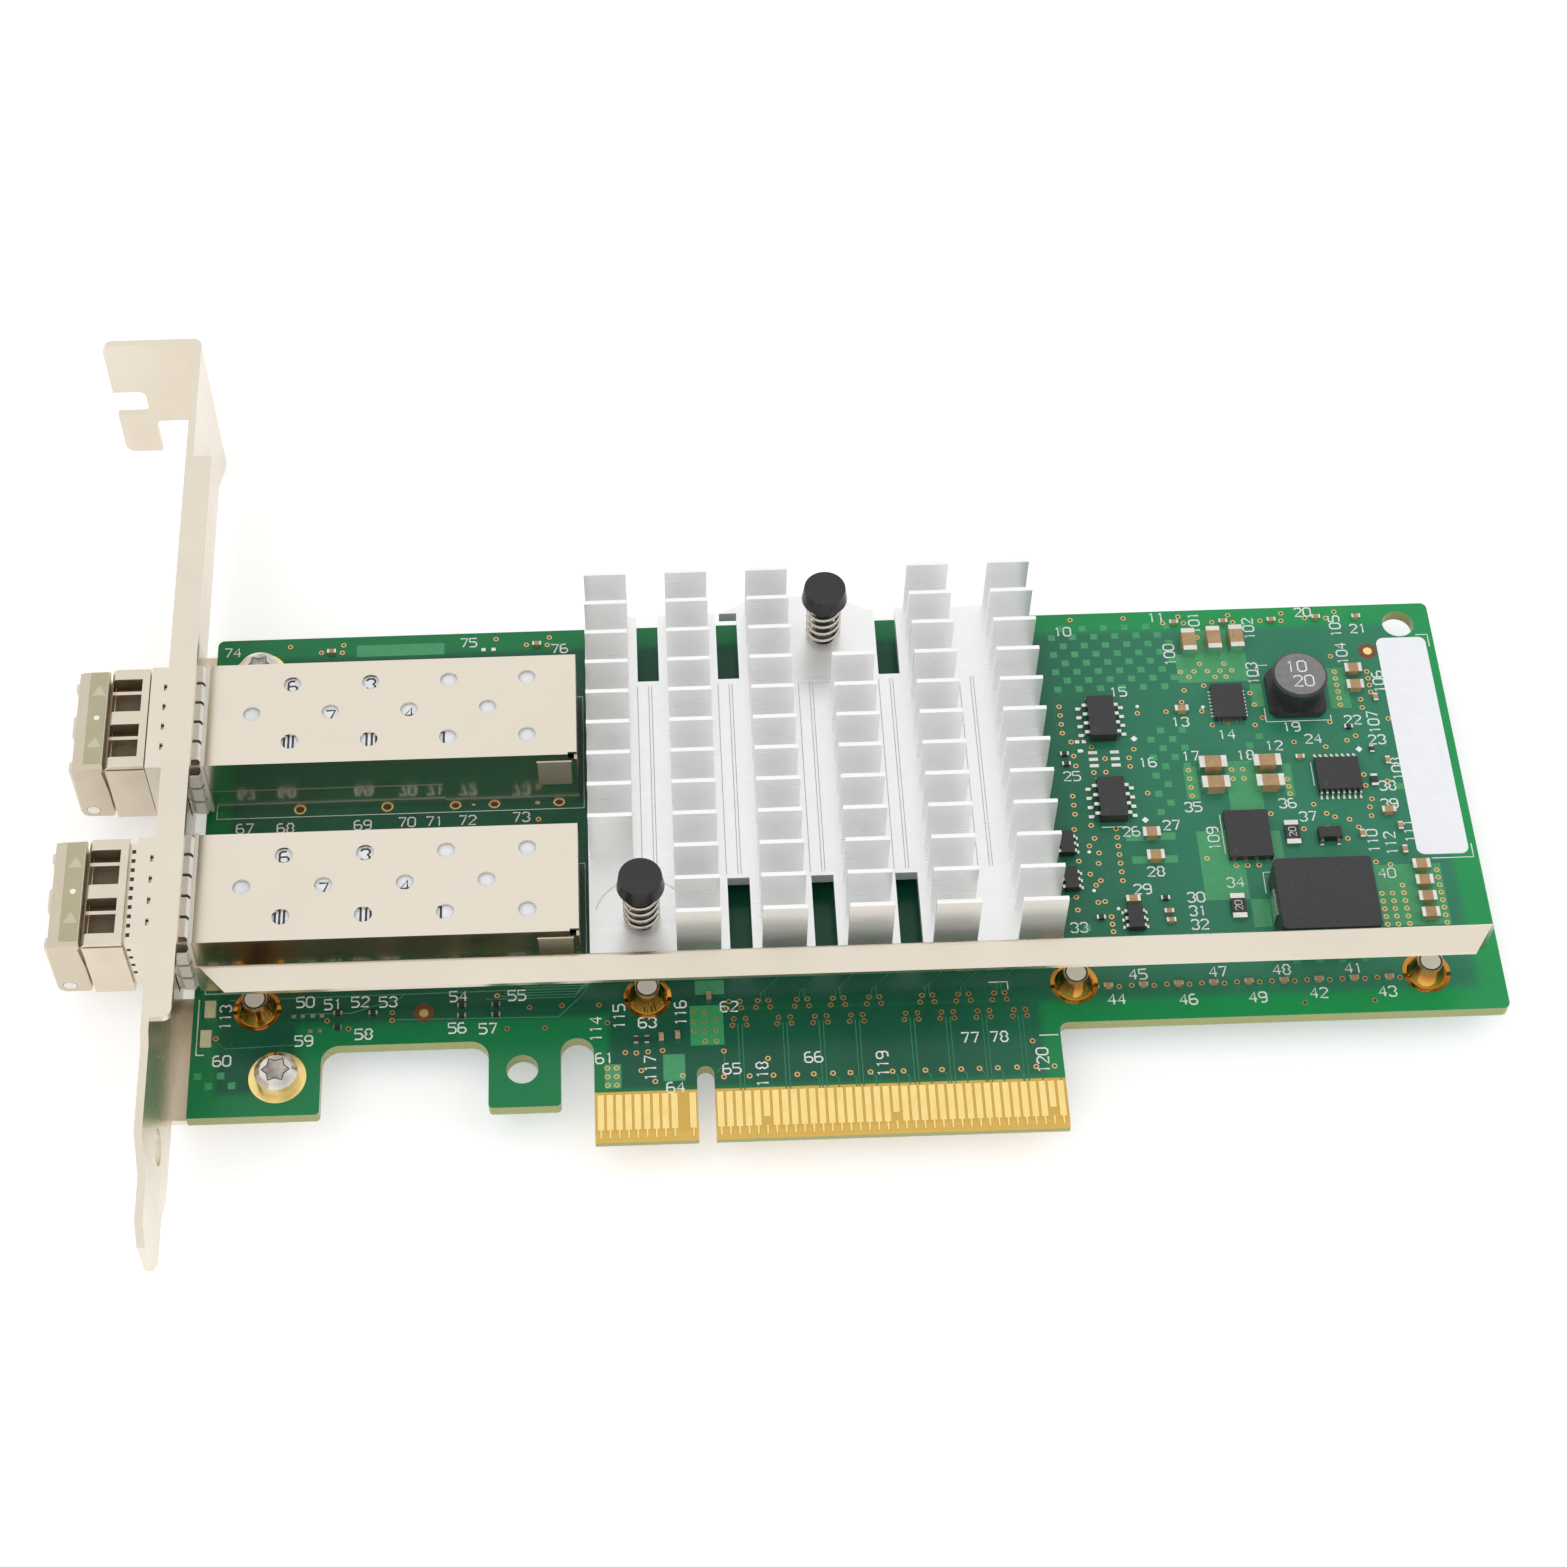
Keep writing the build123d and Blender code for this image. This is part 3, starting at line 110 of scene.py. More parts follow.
def blend(tree, value, first, second):
    """Blend two colours by a value; each colour is three plain numbers or a linked socket."""
    node = tree.nodes.new("ShaderNodeMix")
    node.data_type = "RGBA"
    for socket, color in ((node.inputs["A"], first), (node.inputs["B"], second)):
        if isinstance(color, tuple):
            socket.default_value = (*color, 1.0)
        else:
            link(tree, color, socket)
    link(tree, value, node.inputs["Factor"])
    return node.outputs["Result"]


def bump(tree, shader, value, strength, distance):
    """Let a value rise and fall as fine relief, distance metres deep."""
    node = tree.nodes.new("ShaderNodeBump")
    node.inputs["Strength"].default_value = strength
    node.inputs["Distance"].default_value = distance
    link(tree, value, node.inputs["Height"])
    link(tree, node.outputs["Normal"], shader.inputs["Normal"])


grain_depth = 2e-5


def varied(name, color, second, roughness, metallic, scale, grain, coat=0.0):
    """A finish whose colour, roughness and surface vary gently over the piece."""
    material, tree, shader = new_material(name, color, roughness[0], metallic, coat)
    vector = coordinates(tree)
    value = noise(tree, vector, scale)
    link(tree, blend(tree, spread(tree, value, 0.0, 1.0), color, second), shader.inputs["Base Color"])
    link(tree, spread(tree, value, roughness[0], roughness[1]), shader.inputs["Roughness"])
    fine = noise(tree, vector, scale * 3.0)
    bump(tree, shader, fine, grain, grain_depth)
    return material


STEEL = varied("nickel_steel", (0.80, 0.725, 0.61), (0.77, 0.695, 0.58), (0.24, 0.32), 1.0, 90.0,
               grain=0.02)
CAGE = varied("cage_steel", (0.80, 0.73, 0.62), (0.78, 0.71, 0.60), (0.16, 0.22), 1.0, 60.0, grain=0.01)
HEAD = varied("cast_metal", (0.76, 0.68, 0.56), (0.72, 0.64, 0.52), (0.26, 0.36), 1.0, 300.0, grain=0.05)
BAIL = varied("bail_plate", (0.66, 0.58, 0.46), (0.63, 0.55, 0.43), (0.28, 0.38), 1.0, 300.0, grain=0.04)
TINT = varied("bail_tint", (0.46, 0.42, 0.27), (0.43, 0.39, 0.25), (0.34, 0.44), 0.3, 300.0, grain=0.04)
# Pale plate of the fingers, also used for the painted highlights on the rivet ends and the bails' dimples
FINGER_AND_HIGHLIGHT = varied("finger_plate_and_painted_highlight", (0.93, 0.90, 0.84), (0.88, 0.85, 0.79), (0.30, 0.40), 0.35, 300.0,
                grain=0.02)
# Screw heads: bright plate darkened in broad patches, painted reflections
SCREW_WITH_REFLECTIONS = varied("screw_plate_painted_reflections", (0.88, 0.86, 0.82), (0.42, 0.39, 0.34), (0.08, 0.16), 1.0, 420.0, grain=0.02)
# Floor of a screw's drive: plate darkened by painted shade, in patches of painted reflection
DRIVE_FLOOR_SHADE = varied("drive_floor_painted_shade", (0.50, 0.46, 0.40), (0.20, 0.18, 0.15), (0.15, 0.30), 1.0, 900.0, grain=0.05)
# Pale brown line, a painted highlight along the cages' skirt seams
SEAM_HIGHLIGHT = varied("painted_seam_highlight", (0.42, 0.33, 0.20), (0.36, 0.28, 0.17), (0.30, 0.40), 0.4, 300.0, grain=0.04)
# Beige plate, a painted reflection on the cages' rear tabs
TAB_REFLECTION = varied("painted_tab_reflection", (0.55, 0.47, 0.36), (0.50, 0.42, 0.32), (0.30, 0.40), 0.5, 300.0, grain=0.04)
ARROW = varied("arrow_tint", (0.58, 0.55, 0.42), (0.54, 0.51, 0.38), (0.34, 0.44), 0.3, 300.0, grain=0.04)
CHROME = varied("bright_plate", (0.82, 0.79, 0.73), (0.76, 0.73, 0.67), (0.07, 0.13), 1.0, 400.0,
                grain=0.02)
AMBER = varied("amber_plate", (0.62, 0.29, 0.055), (0.50, 0.21, 0.035), (0.06, 0.14), 1.0, 400.0,
               grain=0.03)
GOLD = varied("gold_plate", (0.98, 0.76, 0.31), (0.95, 0.70, 0.26), (0.20, 0.30), 1.0, 500.0, grain=0.04)
TIN = varied("tinned_ends", (0.80, 0.78, 0.73), (0.70, 0.68, 0.63), (0.22, 0.36), 1.0, 900.0, grain=0.08)
SPRING = varied("spring_wire", (0.70, 0.65, 0.57), (0.60, 0.55, 0.48), (0.14, 0.22), 1.0, 900.0, grain=0.02)
CAPS = varied("black_caps", (0.012, 0.012, 0.012), (0.016, 0.016, 0.016), (0.20, 0.30), 0.0, 500.0,
              grain=0.03)
CHIP = varied("chip_mould", (0.020, 0.020, 0.020), (0.028, 0.028, 0.028), (0.36, 0.48), 0.0, 2500.0,
              grain=0.15)
FERRITE = varied("pressed_ferrite", (0.020, 0.020, 0.021), (0.032, 0.032, 0.033), (0.34, 0.50), 0.0,
                 2000.0, grain=0.2)
CERAMIC = varied("capacitor_ceramic", (0.46, 0.29, 0.14), (0.38, 0.23, 0.11), (0.36, 0.48), 0.0, 1500.0,
                 grain=0.10)
GLAZE = varied("drum_glaze", (0.17, 0.17, 0.168), (0.22, 0.22, 0.215), (0.30, 0.40), 0.0, 1200.0, grain=0.1)
RESIST = varied("resistor_glaze", (0.015, 0.015, 0.017), (0.03, 0.03, 0.033), (0.25, 0.40), 0.0, 1200.0,
                grain=0.05)
SLEEVE = varied("white_ceramic", (0.80, 0.79, 0.75), (0.74, 0.73, 0.69), (0.15, 0.25), 0.0, 800.0,
                grain=0.03)
# Dark moulding of the connectors and chip marks, also laid in the screw drives as painted shade
DARK_MOULDING_AND_SHADE = varied("dark_moulding_and_painted_shade", (0.03, 0.03, 0.03), (0.045, 0.045, 0.045), (0.4, 0.55), 0.0, 900.0,
              grain=0.1)
SHADE = varied("window_painted_shade", (0.085, 0.058, 0.030), (0.12, 0.085, 0.045), (0.35, 0.5), 0.0, 700.0,
               grain=0.1)
LAMP = varied("lamp_lens", (0.66, 0.62, 0.42), (0.58, 0.54, 0.34), (0.12, 0.2), 0.0, 900.0, grain=0.03,
              coat=0.5)
LABEL = varied("label_paper", (0.90, 0.915, 0.95), (0.87, 0.885, 0.92), (0.50, 0.62), 0.0, 900.0,
               grain=0.05)
# Black ink of the labels' print, also used as painted shade in the ring's slots
INK_AND_SLOT_SHADE = varied("label_ink_and_painted_slot_shade", (0.05, 0.05, 0.055), (0.08, 0.08, 0.085), (0.45, 0.6), 0.0, 1500.0, grain=0.05)
PAD = varied("thermal_pad", (0.16, 0.17, 0.19), (0.13, 0.14, 0.16), (0.6, 0.8), 0.0, 900.0, grain=0.2)


def compute(tree, operation, *values):
    """A calculation on linked values; a plain number sets its socket."""
    node = tree.nodes.new("ShaderNodeMath")
    node.operation = operation
    for socket, value in zip(node.inputs, values):
        if isinstance(value, (int, float)):
            socket.default_value = value
        else:
            link(tree, value, socket)
    return node.outputs["Value"]


def inside(tree, x, y, area):
    """How far a place lies inside a rectangle, in metres, negative outside it."""
    x0, x1, y0, y1 = (edge * MM for edge in area)
    across = compute(tree, "MINIMUM", compute(tree, "SUBTRACT", x, x0), compute(tree, "SUBTRACT", x1, x))
    along = compute(tree, "MINIMUM", compute(tree, "SUBTRACT", y, y0), compute(tree, "SUBTRACT", y1, y))
    return compute(tree, "MINIMUM", across, along)


# Areas of the board as x0, x1, y0, y1 in mm, and the places where its mask changes
copper_planes = ((-53.6, 86.0, 15.6, 66.0), (-53.6, -44.8, 7.2, 16.0), (-10.5, 37.2, 6.2, 16.0))
plane_fade = 0.5
# Between these x in mm the mask grows lighter towards +x: painted light
light_sweep_x0 = 25
light_sweep_x1 = 62
bare_tab = (-14.0, 41.0, -2.0, 8.0)
bare_tab_y = 5.95
bare_tab_fade = 0.05
tab_side_fade = 0.01
laminate = (0.66, 0.42, 0.09)
cut_side = (0.34, 0.36, 0.14)


def board_material():
    """Green mask over copper planes, lighter where they end and lighter towards +x as painted light, with
    bare laminate at the contacts and sides.
    """
    material, tree, shader = new_material("solder_mask", (0.01, 0.1, 0.05), 0.25)
    shader.inputs["Specular IOR Level"].default_value = 0.28
    vector = coordinates(tree)
    parts = tree.nodes.new("ShaderNodeSeparateXYZ")
    link(tree, vector, parts.inputs["Vector"])
    x, y = parts.outputs["X"], parts.outputs["Y"]
    depth = [inside(tree, x, y, area) for area in copper_planes]
    deepest = compute(tree, "MAXIMUM", compute(tree, "MAXIMUM", depth[0], depth[1]), depth[2])
    plane = spread(tree, deepest, 0.0, 1.0, -plane_fade * MM, plane_fade * MM)
    # Painted light: the mask grows lighter towards +x
    light_sweep = spread(tree, x, 0.0, 1.0, light_sweep_x0 * MM, light_sweep_x1 * MM)
    over_plane = blend(tree, light_sweep, (0.010, 0.088, 0.048), (0.030, 0.205, 0.115))
    rim = blend(tree, light_sweep, (0.010, 0.190, 0.060), (0.014, 0.310, 0.085))
    mask = blend(tree, plane, rim, over_plane)
    weave = noise(tree, vector, 160.0)
    mask = blend(tree, spread(tree, weave, 0.0, 0.22), mask, (0.012, 0.17, 0.075))
    bare = spread(tree, y, 1.0, 0.0, (bare_tab_y - bare_tab_fade) * MM, (bare_tab_y + bare_tab_fade) * MM)
    tab = spread(tree, inside(tree, x, y, bare_tab), 0.0, 1.0, 0.0, tab_side_fade * MM)
    face = blend(tree, compute(tree, "MULTIPLY", bare, tab), mask, laminate)
    geometry = tree.nodes.new("ShaderNodeNewGeometry")
    tilt = tree.nodes.new("ShaderNodeSeparateXYZ")
    link(tree, geometry.outputs["True Normal"], tilt.inputs["Vector"])
    flat = compute(tree, "ABSOLUTE", tilt.outputs["Z"])
    side = spread(tree, flat, 1.0, 0.0, 0.4, 0.6)
    link(tree, blend(tree, side, face, cut_side), shader.inputs["Base Color"])
    link(tree, spread(tree, weave, 0.20, 0.30), shader.inputs["Roughness"])
    bump(tree, shader, weave, 0.04, grain_depth)
    return material


BOARD = board_material()


def sink_material():
    """Bright aluminium with fine lines along the fins and milling lines across the channels."""
    material, tree, shader = new_material("bright_aluminium", (0.86, 0.86, 0.85), 0.3, 0.6)
    lines = noise(tree, coordinates(tree, (0.02, 1.0, 1.0)), 2600.0, 2.0)
    clouds = noise(tree, coordinates(tree), 90.0)
    link(tree, blend(tree, spread(tree, clouds, 0.0, 1.0), (0.97, 0.97, 0.965), (0.94, 0.945, 0.94)),
         shader.inputs["Base Color"])
    link(tree, spread(tree, lines, 0.27, 0.35), shader.inputs["Roughness"])
    bump(tree, shader, lines, 0.05, 1.0e-5)
    return material


SINK = sink_material()


# Heights in mm between which a rivet's plate turns to the painted amber reflection of its ring, from its tail
# up to its head
rivet_tail_z = (-1.5, -0.5)
rivet_shoulder_z = (0.1, 1.5)
rivet_head_z = (1.90, 1.96)


def rivet_material():
    """Bright plate whose flared shoulder, between the board and the foot, carries a painted reflection of the
    amber ring it stands on, orange at the board and darkening upwards into painted shade.
    """
    material, tree, shader = new_material("rivet_plate", (0.8, 0.77, 0.72), 0.1, 1.0)
    parts = tree.nodes.new("ShaderNodeSeparateXYZ")
    vector = coordinates(tree)
    link(tree, vector, parts.inputs["Vector"])
    height = parts.outputs["Z"]
    above = spread(tree, height, 0.0, 1.0, *(z * MM for z in rivet_head_z))
    below = spread(tree, height, 1.0, 0.0, *(z * MM for z in rivet_tail_z))
    rise = spread(tree, height, 0.0, 1.0, *(z * MM for z in rivet_shoulder_z))
    # Painted reflection of the ring, orange low down and darkening upwards as painted shade
    shoulder_reflection = blend(tree, rise, (0.86, 0.44, 0.08), (0.30, 0.13, 0.03))
    bright = compute(tree, "MAXIMUM", above, below)
    link(tree, blend(tree, bright, shoulder_reflection, (0.80, 0.77, 0.72)), shader.inputs["Base Color"])
    clouds = noise(tree, vector, 500.0)
    link(tree, spread(tree, clouds, 0.06, 0.14), shader.inputs["Roughness"])
    return material


RIVET = rivet_material()

finishes = {
    STEEL: ("bracket", "stiffener"),
    CAGE: ("cage_upper", "cage_lower", "module_ring_lower"),
    FINGER_AND_HIGHLIGHT: ("fingers_upper", "fingers_lower"),
    HEAD: ("module_upper", "module_lower", "module_cover_upper", "module_cover_lower"),
    BAIL: ("bail_upper", "bail_lower"),
    CHROME: ("bail_pins_upper", "bail_pins_lower"),
    SCREW_WITH_REFLECTIONS: ("bracket_screws",),
    RIVET: ("stiffener_rivets",),
    AMBER: ("rivet_pads",),
    GOLD: ("contacts_top", "contacts_bottom", "screw_pads"),
    TIN: ("capacitor_ends", "resistor_ends", "soic_leads", "tssop_leads", "sot_leads", "choke_terminals"),
    SPRING: ("spring_upper", "spring_lower"),
    CAPS: ("push_pin_upper", "push_pin_lower"),
    CHIP: ("controller", "soic_bodies", "tssop_body", "qfn_bodies", "sot_bodies"),
    FERRITE: ("drum_inductor", "choke_body"),
    CERAMIC: ("capacitor_bodies",),
    RESIST: ("resistor_bodies",),
    SLEEVE: ("port_sleeves_upper", "port_sleeves_lower"),
    DARK_MOULDING_AND_SHADE: ("host_connector_upper", "host_connector_lower"),
    LAMP: ("indicator_lamps",),
    LABEL: ("blank_label",),
    PAD: ("thermal_pad",),
    BOARD: ("board", "module_card_upper", "module_card_lower"),
    SINK: ("heat_sink",),
}
for material, names in finishes.items():
    for name in names:
        node = nodes[name]
        node.data.materials.clear()
        node.data.materials.append(material)


# Modelling helpers

def start_clean():
    """Leave nothing selected, because an operator acts on all that is selected."""
    bpy.ops.object.select_all(action="DESELECT")


def choose(piece):
    """Make one piece the selected and active one."""
    start_clean()
    piece.select_set(True)
    bpy.context.view_layer.objects.active = piece


def pick(piece, test):
    """Select in edit mode the faces whose middle passes a test."""
    mesh = bmesh.from_edit_mesh(piece.data)
    for face in mesh.faces:
        face.select_set(False)
    for face in mesh.faces:
        if test(face):
            face.select_set(True)
    mesh.select_flush_mode()
    bmesh.update_edit_mesh(piece.data)


def settle(piece):
    """Move a piece's place into its mesh, with its origin at the world's origin."""
    choose(piece)
    bpy.ops.object.transform_apply(location=True, rotation=True, scale=True)


def plate(name, x0, x1, y0, y1, z0, z1, corner=0.0):
    """A flat plate between two corners, raised from a plane, with its upright edges cut by corner."""
    start_clean()
    bpy.ops.mesh.primitive_plane_add(size=1.0, location=((x0 + x1) / 2 * MM, (y0 + y1) / 2 * MM, z0 * MM))
    piece = bpy.context.object
    piece.name = name
    piece.scale = ((x1 - x0) * MM, (y1 - y0) * MM, 1.0)
    settle(piece)
    bpy.ops.object.mode_set(mode="EDIT")
    bpy.ops.mesh.select_all(action="SELECT")
    if corner:
        bpy.ops.mesh.bevel(offset=corner * MM, segments=3, affect="VERTICES")
    bpy.ops.mesh.extrude_region_move(TRANSFORM_OT_translate={"value": (0, 0, (z1 - z0) * MM)})
    bpy.ops.mesh.select_all(action="SELECT")
    bpy.ops.mesh.normals_make_consistent(inside=False)
    bpy.ops.object.mode_set(mode="OBJECT")
    return piece


def disc(name, x, y, z0, z1, radius, sides=16):
    """A low round post raised from a circle."""
    start_clean()
    bpy.ops.mesh.primitive_circle_add(vertices=sides, radius=radius * MM, fill_type="NGON",
                                      location=(x * MM, y * MM, z0 * MM))
    piece = bpy.context.object
    piece.name = name
    settle(piece)
    bpy.ops.object.mode_set(mode="EDIT")
    bpy.ops.mesh.select_all(action="SELECT")
    bpy.ops.mesh.extrude_region_move(TRANSFORM_OT_translate={"value": (0, 0, (z1 - z0) * MM)})
    bpy.ops.mesh.select_all(action="SELECT")
    bpy.ops.mesh.normals_make_consistent(inside=False)
    bpy.ops.object.mode_set(mode="OBJECT")
    return piece


def join(name, pieces):
    """Join pieces into one."""
    start_clean()
    for piece in pieces:
        piece.select_set(True)
    bpy.context.view_layer.objects.active = pieces[0]
    if len(pieces) > 1:
        bpy.ops.object.join()
    joined = bpy.context.object
    joined.name = name
    return joined


def spread_copies(name, model, places):
    """Copy a modelled piece to places given as matrices, each copy with its own mesh, and join them."""
    copies = []
    for place in places:
        copy = model.copy()
        copy.data = model.data.copy()
        copy.data.transform(place)
        bpy.context.collection.objects.link(copy)
        copies.append(copy)
    bpy.data.objects.remove(model)
    return join(name, copies)


def shift(x, y, z=0.0):
    """The matrix that moves a piece by millimetres."""
    return Matrix.Translation((x * MM, y * MM, z * MM))


def wire(name, routes, radius, resolution=0):
    """Wires of one radius along routes of points, all one piece."""
    curve = bpy.data.curves.new(name, "CURVE")
    curve.dimensions = "3D"
    curve.bevel_depth = radius * MM
    curve.bevel_resolution = resolution
    curve.use_fill_caps = True
    for route in routes:
        spline = curve.splines.new("POLY")
        spline.points.add(len(route) - 1)
        for point, (x, y, z) in zip(spline.points, route):
            point.co = (x * MM, y * MM, z * MM, 1.0)
    piece = bpy.data.objects.new(name, curve)
    bpy.context.collection.objects.link(piece)
    choose(piece)
    bpy.ops.object.convert(target="MESH")
    return bpy.context.object


def lines(name, routes, width, z, height):
    """Flat raised lines along routes of corners, all one piece."""
    piece = wire(name, [[(x, y, 0.0) for x, y in route] for route in routes], width / 2)
    piece.data.transform(Matrix.Translation((0, 0, z * MM)) @ Matrix.Diagonal((1, 1, 2 * height / width, 1)))
    return piece


def finish(piece, body, material):
    """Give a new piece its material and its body."""
    piece.data.materials.clear()
    piece.data.materials.append(material)
    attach(piece, body)
    return piece


# Finishes of the board art

PRINT = varied("white_print", (0.92, 0.94, 0.92), (0.84, 0.87, 0.84), (0.50, 0.62), 0.0, 1500.0, grain=0.05)
COPPER = varied("masked_copper", (0.040, 0.32, 0.12), (0.032, 0.28, 0.105), (0.22, 0.34), 0.0, 900.0,
                grain=0.04,
                coat=0.25)
TRACE = varied("masked_trace", (0.035, 0.24, 0.12), (0.028, 0.21, 0.10), (0.25, 0.36), 0.0, 900.0,
               grain=0.04,
               coat=0.2)
RING = varied("plated_ring", (0.78, 0.55, 0.26), (0.68, 0.45, 0.18), (0.25, 0.40), 0.85, 1500.0, grain=0.05)
WELL = varied("hole_shade", (0.05, 0.025, 0.012), (0.08, 0.04, 0.02), (0.4, 0.6), 0.0, 1500.0, grain=0.05)
HALO = varied("fiducial_ring", (0.16, 0.055, 0.02), (0.13, 0.045, 0.018), (0.30, 0.42), 0.0, 900.0,
              grain=0.05,
              coat=0.2)

# Height of the art over the board's face, and the board's other face
art_z = 0.012
underside = -1.57

# Small copper squares that even out the plating, on a checkered grid between the parts
square_step = 1.27
square_half = 0.42
square_origin = (43.5, 57.8)
square_columns = range(-80, 34)
square_rows = range(-42, 9)
square_fields = (
    (43.0, 57.6, 57.0, 67.4),
    (53.5, 57.6, 46.2, 51.6),
    (53.5, 55.2, 39.5, 45.2),
    (64.9, 66.8, 48.5, 50.5),
    (66.0, 75.0, 19.2, 20.6),
    (77.8, 78.5, 35.5, 36.8),
    (-56.0, -51.5, 7.3, 10.4),
    (43.2, 44.2, 24.0, 25.4),
    (81.4, 82.0, 42.2, 43.2),
)


def square_places():
    """Every second place of the grid that falls in a field."""
    x0, y0 = square_origin
    for i in square_columns:
        for j in square_rows:
            x = x0 + i * square_step
            y = y0 + j * square_step
            if (i + j) % 2 == 0 and any(a < x < b and c < y < d for a, b, c, d in square_fields):
                yield shift(x, y)


square = plate("square", -square_half, square_half, -square_half, square_half, 0.0, art_z)
finish(spread_copies("copper_squares", square, list(square_places())), "card", COPPER)

# Copper areas under the mask
pours = (
    (57.9, 66.3, 58.2, 62.4), (60.2, 64.4, 62.4, 65.8), (66.2, 67.6, 54.4, 57.7), (75.4, 77.8, 53.8, 59.7),
    (57.3, 62.3, 27.9, 37.2), (62.3, 64.3, 24.2, 27.9), (61.7, 65.6, 39.8, 46.8), (65.6, 66.9, 32.9, 37.0),
    (56.9, 58.4, 41.6, 46.2), (68.4, 69.4, 41.6, 46.2), (76.8, 84.4, 23.8, 31.9), (-1.5, 2.2, 11.4, 16.4),
    (-0.8, 2.4, 17.8, 19.6), (-4.6, -2.2, 7.1, 10.4), (-11.0, -9.2, 6.4, 9.4), (49.2, 54.9, 36.2, 37.2),
    (49.6, 54.8, 33.1, 34.1), (-39.8, -29.3, 65.9, 67.6),
)
pour_plates = [plate("pour", x0, x1, y0, y1, 0.0, art_z / 2) for x0, x1, y0, y1 in pours]
finish(join("copper_areas", pour_plates), "card", COPPER)

# Plated through holes, on both faces
via_r = 0.32
via_bore = 0.18
via_height = 2.2 * art_z
via_depth = 1.8 * art_z
pair_xs = (3.35, 8.3, 12.3, 16.3, 22.35, 26.3, 30.3, 34.3)
pair_y = 14.6
high_pair_xs = (2.9, 6.1, 10.4, 14.4, 18.4, 24.3, 28.3, 32.3)
high_pair_y = 16.8
tap_xs = (2.0, 4.8, 7.4, 10.0, 11.8, 13.9, 15.8, 18.0, 20.4,
          21.6, 24.0, 25.8, 27.9, 29.9, 31.9, 34.0, 36.1, 38.1)
tap_y = 7.4
via_columns = (
    (48.2, 30.9, 1.17, 7), (43.4, 51.5, 1.27, 4), (43.7, 40.1, 1.25, 3), (57.5, 42.1, 1.2, 4),
    (68.8, 42.0, 1.0, 3), (76.5, 54.3, 0.96, 6), (80.35, 56.0, 1.0, 4), (83.9, 24.0, 1.0, 8),
    (77.2, 24.0, 1.02, 5), (78.4, 24.0, 1.02, 5), (79.7, 24.0, 1.02, 6), (-10.7, 6.8, 1.05, 3),
    (-9.7, 6.8, 1.05, 3), (46.4, 24.2, 0.98, 3), (-1.1, 13.2, 1.2, 3), (0.1, 11.9, 1.2, 4),
    (1.35, 11.9, 1.3, 3),
)
row_cap_places = [(76.2 - 3.9 * i, 17.1) for i in range(9)]
row_cap_places += [(58.3, 67.0), (64.2, 66.9), (70.0, 66.9), (75.4, 67.1), (-42.8, 66.6), (-18.2, 66.8)]
row_via_gap = 1.25
lone_vias = (
    (46.0, 68.0), (52.4, 68.0), (59.0, 68.0), (65.0, 68.0), (71.4, 68.0), (77.8, 68.0), (60.9, 64.8),
    (58.3, 59.8), (59.9, 59.8), (61.5, 59.8), (63.0, 59.8), (64.4, 59.8), (59.2, 59.0), (62.3, 58.9),
    (63.6, 58.9), (60.7, 60.9), (63.6, 60.8), (60.8, 57.7), (58.4, 57.1), (57.9, 55.4), (55.9, 54.1),
    (60.1, 54.0), (61.1, 52.0), (63.0, 52.3), (66.1, 56.4), (66.4, 54.7), (67.1, 52.8), (66.1, 51.8),
    (44.3, 50.2), (46.6, 49.4), (52.5, 54.0), (44.4, 48.2), (44.5, 46.8), (48.0, 47.7), (51.5, 48.9),
    (50.8, 47.7), (50.8, 46.5), (70.3, 49.2), (76.4, 61.4), (79.0, 55.0), (79.0, 53.8), (81.8, 52.1),
    (74.9, 51.9), (73.9, 48.4), (76.5, 49.2), (77.6, 49.8), (46.5, 45.8), (47.9, 45.8), (52.4, 42.7),
    (62.5, 45.6), (62.5, 44.3), (63.8, 45.6), (63.8, 44.3), (66.2, 39.3), (45.4, 38.5), (43.4, 38.0),
    (45.6, 36.7), (44.9, 35.7), (45.9, 34.7), (43.5, 33.7), (45.7, 33.3), (44.6, 31.9), (45.7, 31.0),
    (45.1, 30.4), (42.7, 28.9), (45.1, 28.1), (45.9, 28.2), (42.7, 27.2), (58.1, 33.5), (61.3, 32.4),
    (62.6, 32.4), (63.9, 32.4), (77.7, 44.3), (77.7, 42.8), (80.3, 43.3), (71.3, 40.4), (72.6, 39.1),
    (73.5, 38.6), (75.1, 38.2), (78.1, 40.9), (77.7, 39.8), (77.7, 38.6), (76.0, 37.1), (74.5, 35.6),
    (69.7, 37.1), (77.2, 32.3), (78.8, 31.9), (66.5, 14.3), (74.2, 14.3), (-53.8, 14.2), (-39.2, 14.9),
    (-41.6, 16.0), (-34.4, 16.8), (-34.4, 15.8), (-19.2, 16.9), (-15.6, 17.0), (-21.7, 14.3), (-17.5, 14.2),
    (-22.8, 18.5), (-11.5, 16.9), (-10.6, 14.6), (-8.7, 10.8), (-7.5, 10.7), (-6.2, 10.8), (-4.6, 10.9),
    (-2.5, 7.7), (-7.0, 8.5), (-5.5, 7.1), (2.1, 10.6), (6.9, 9.5), (36.0, 10.6), (-47.8, 67.7),
    (-41.4, 67.7), (-23.1, 67.9), (-16.7, 67.9), (-18.1, 41.8), (-25.6, 44.3), (-18.2, 44.2),
)


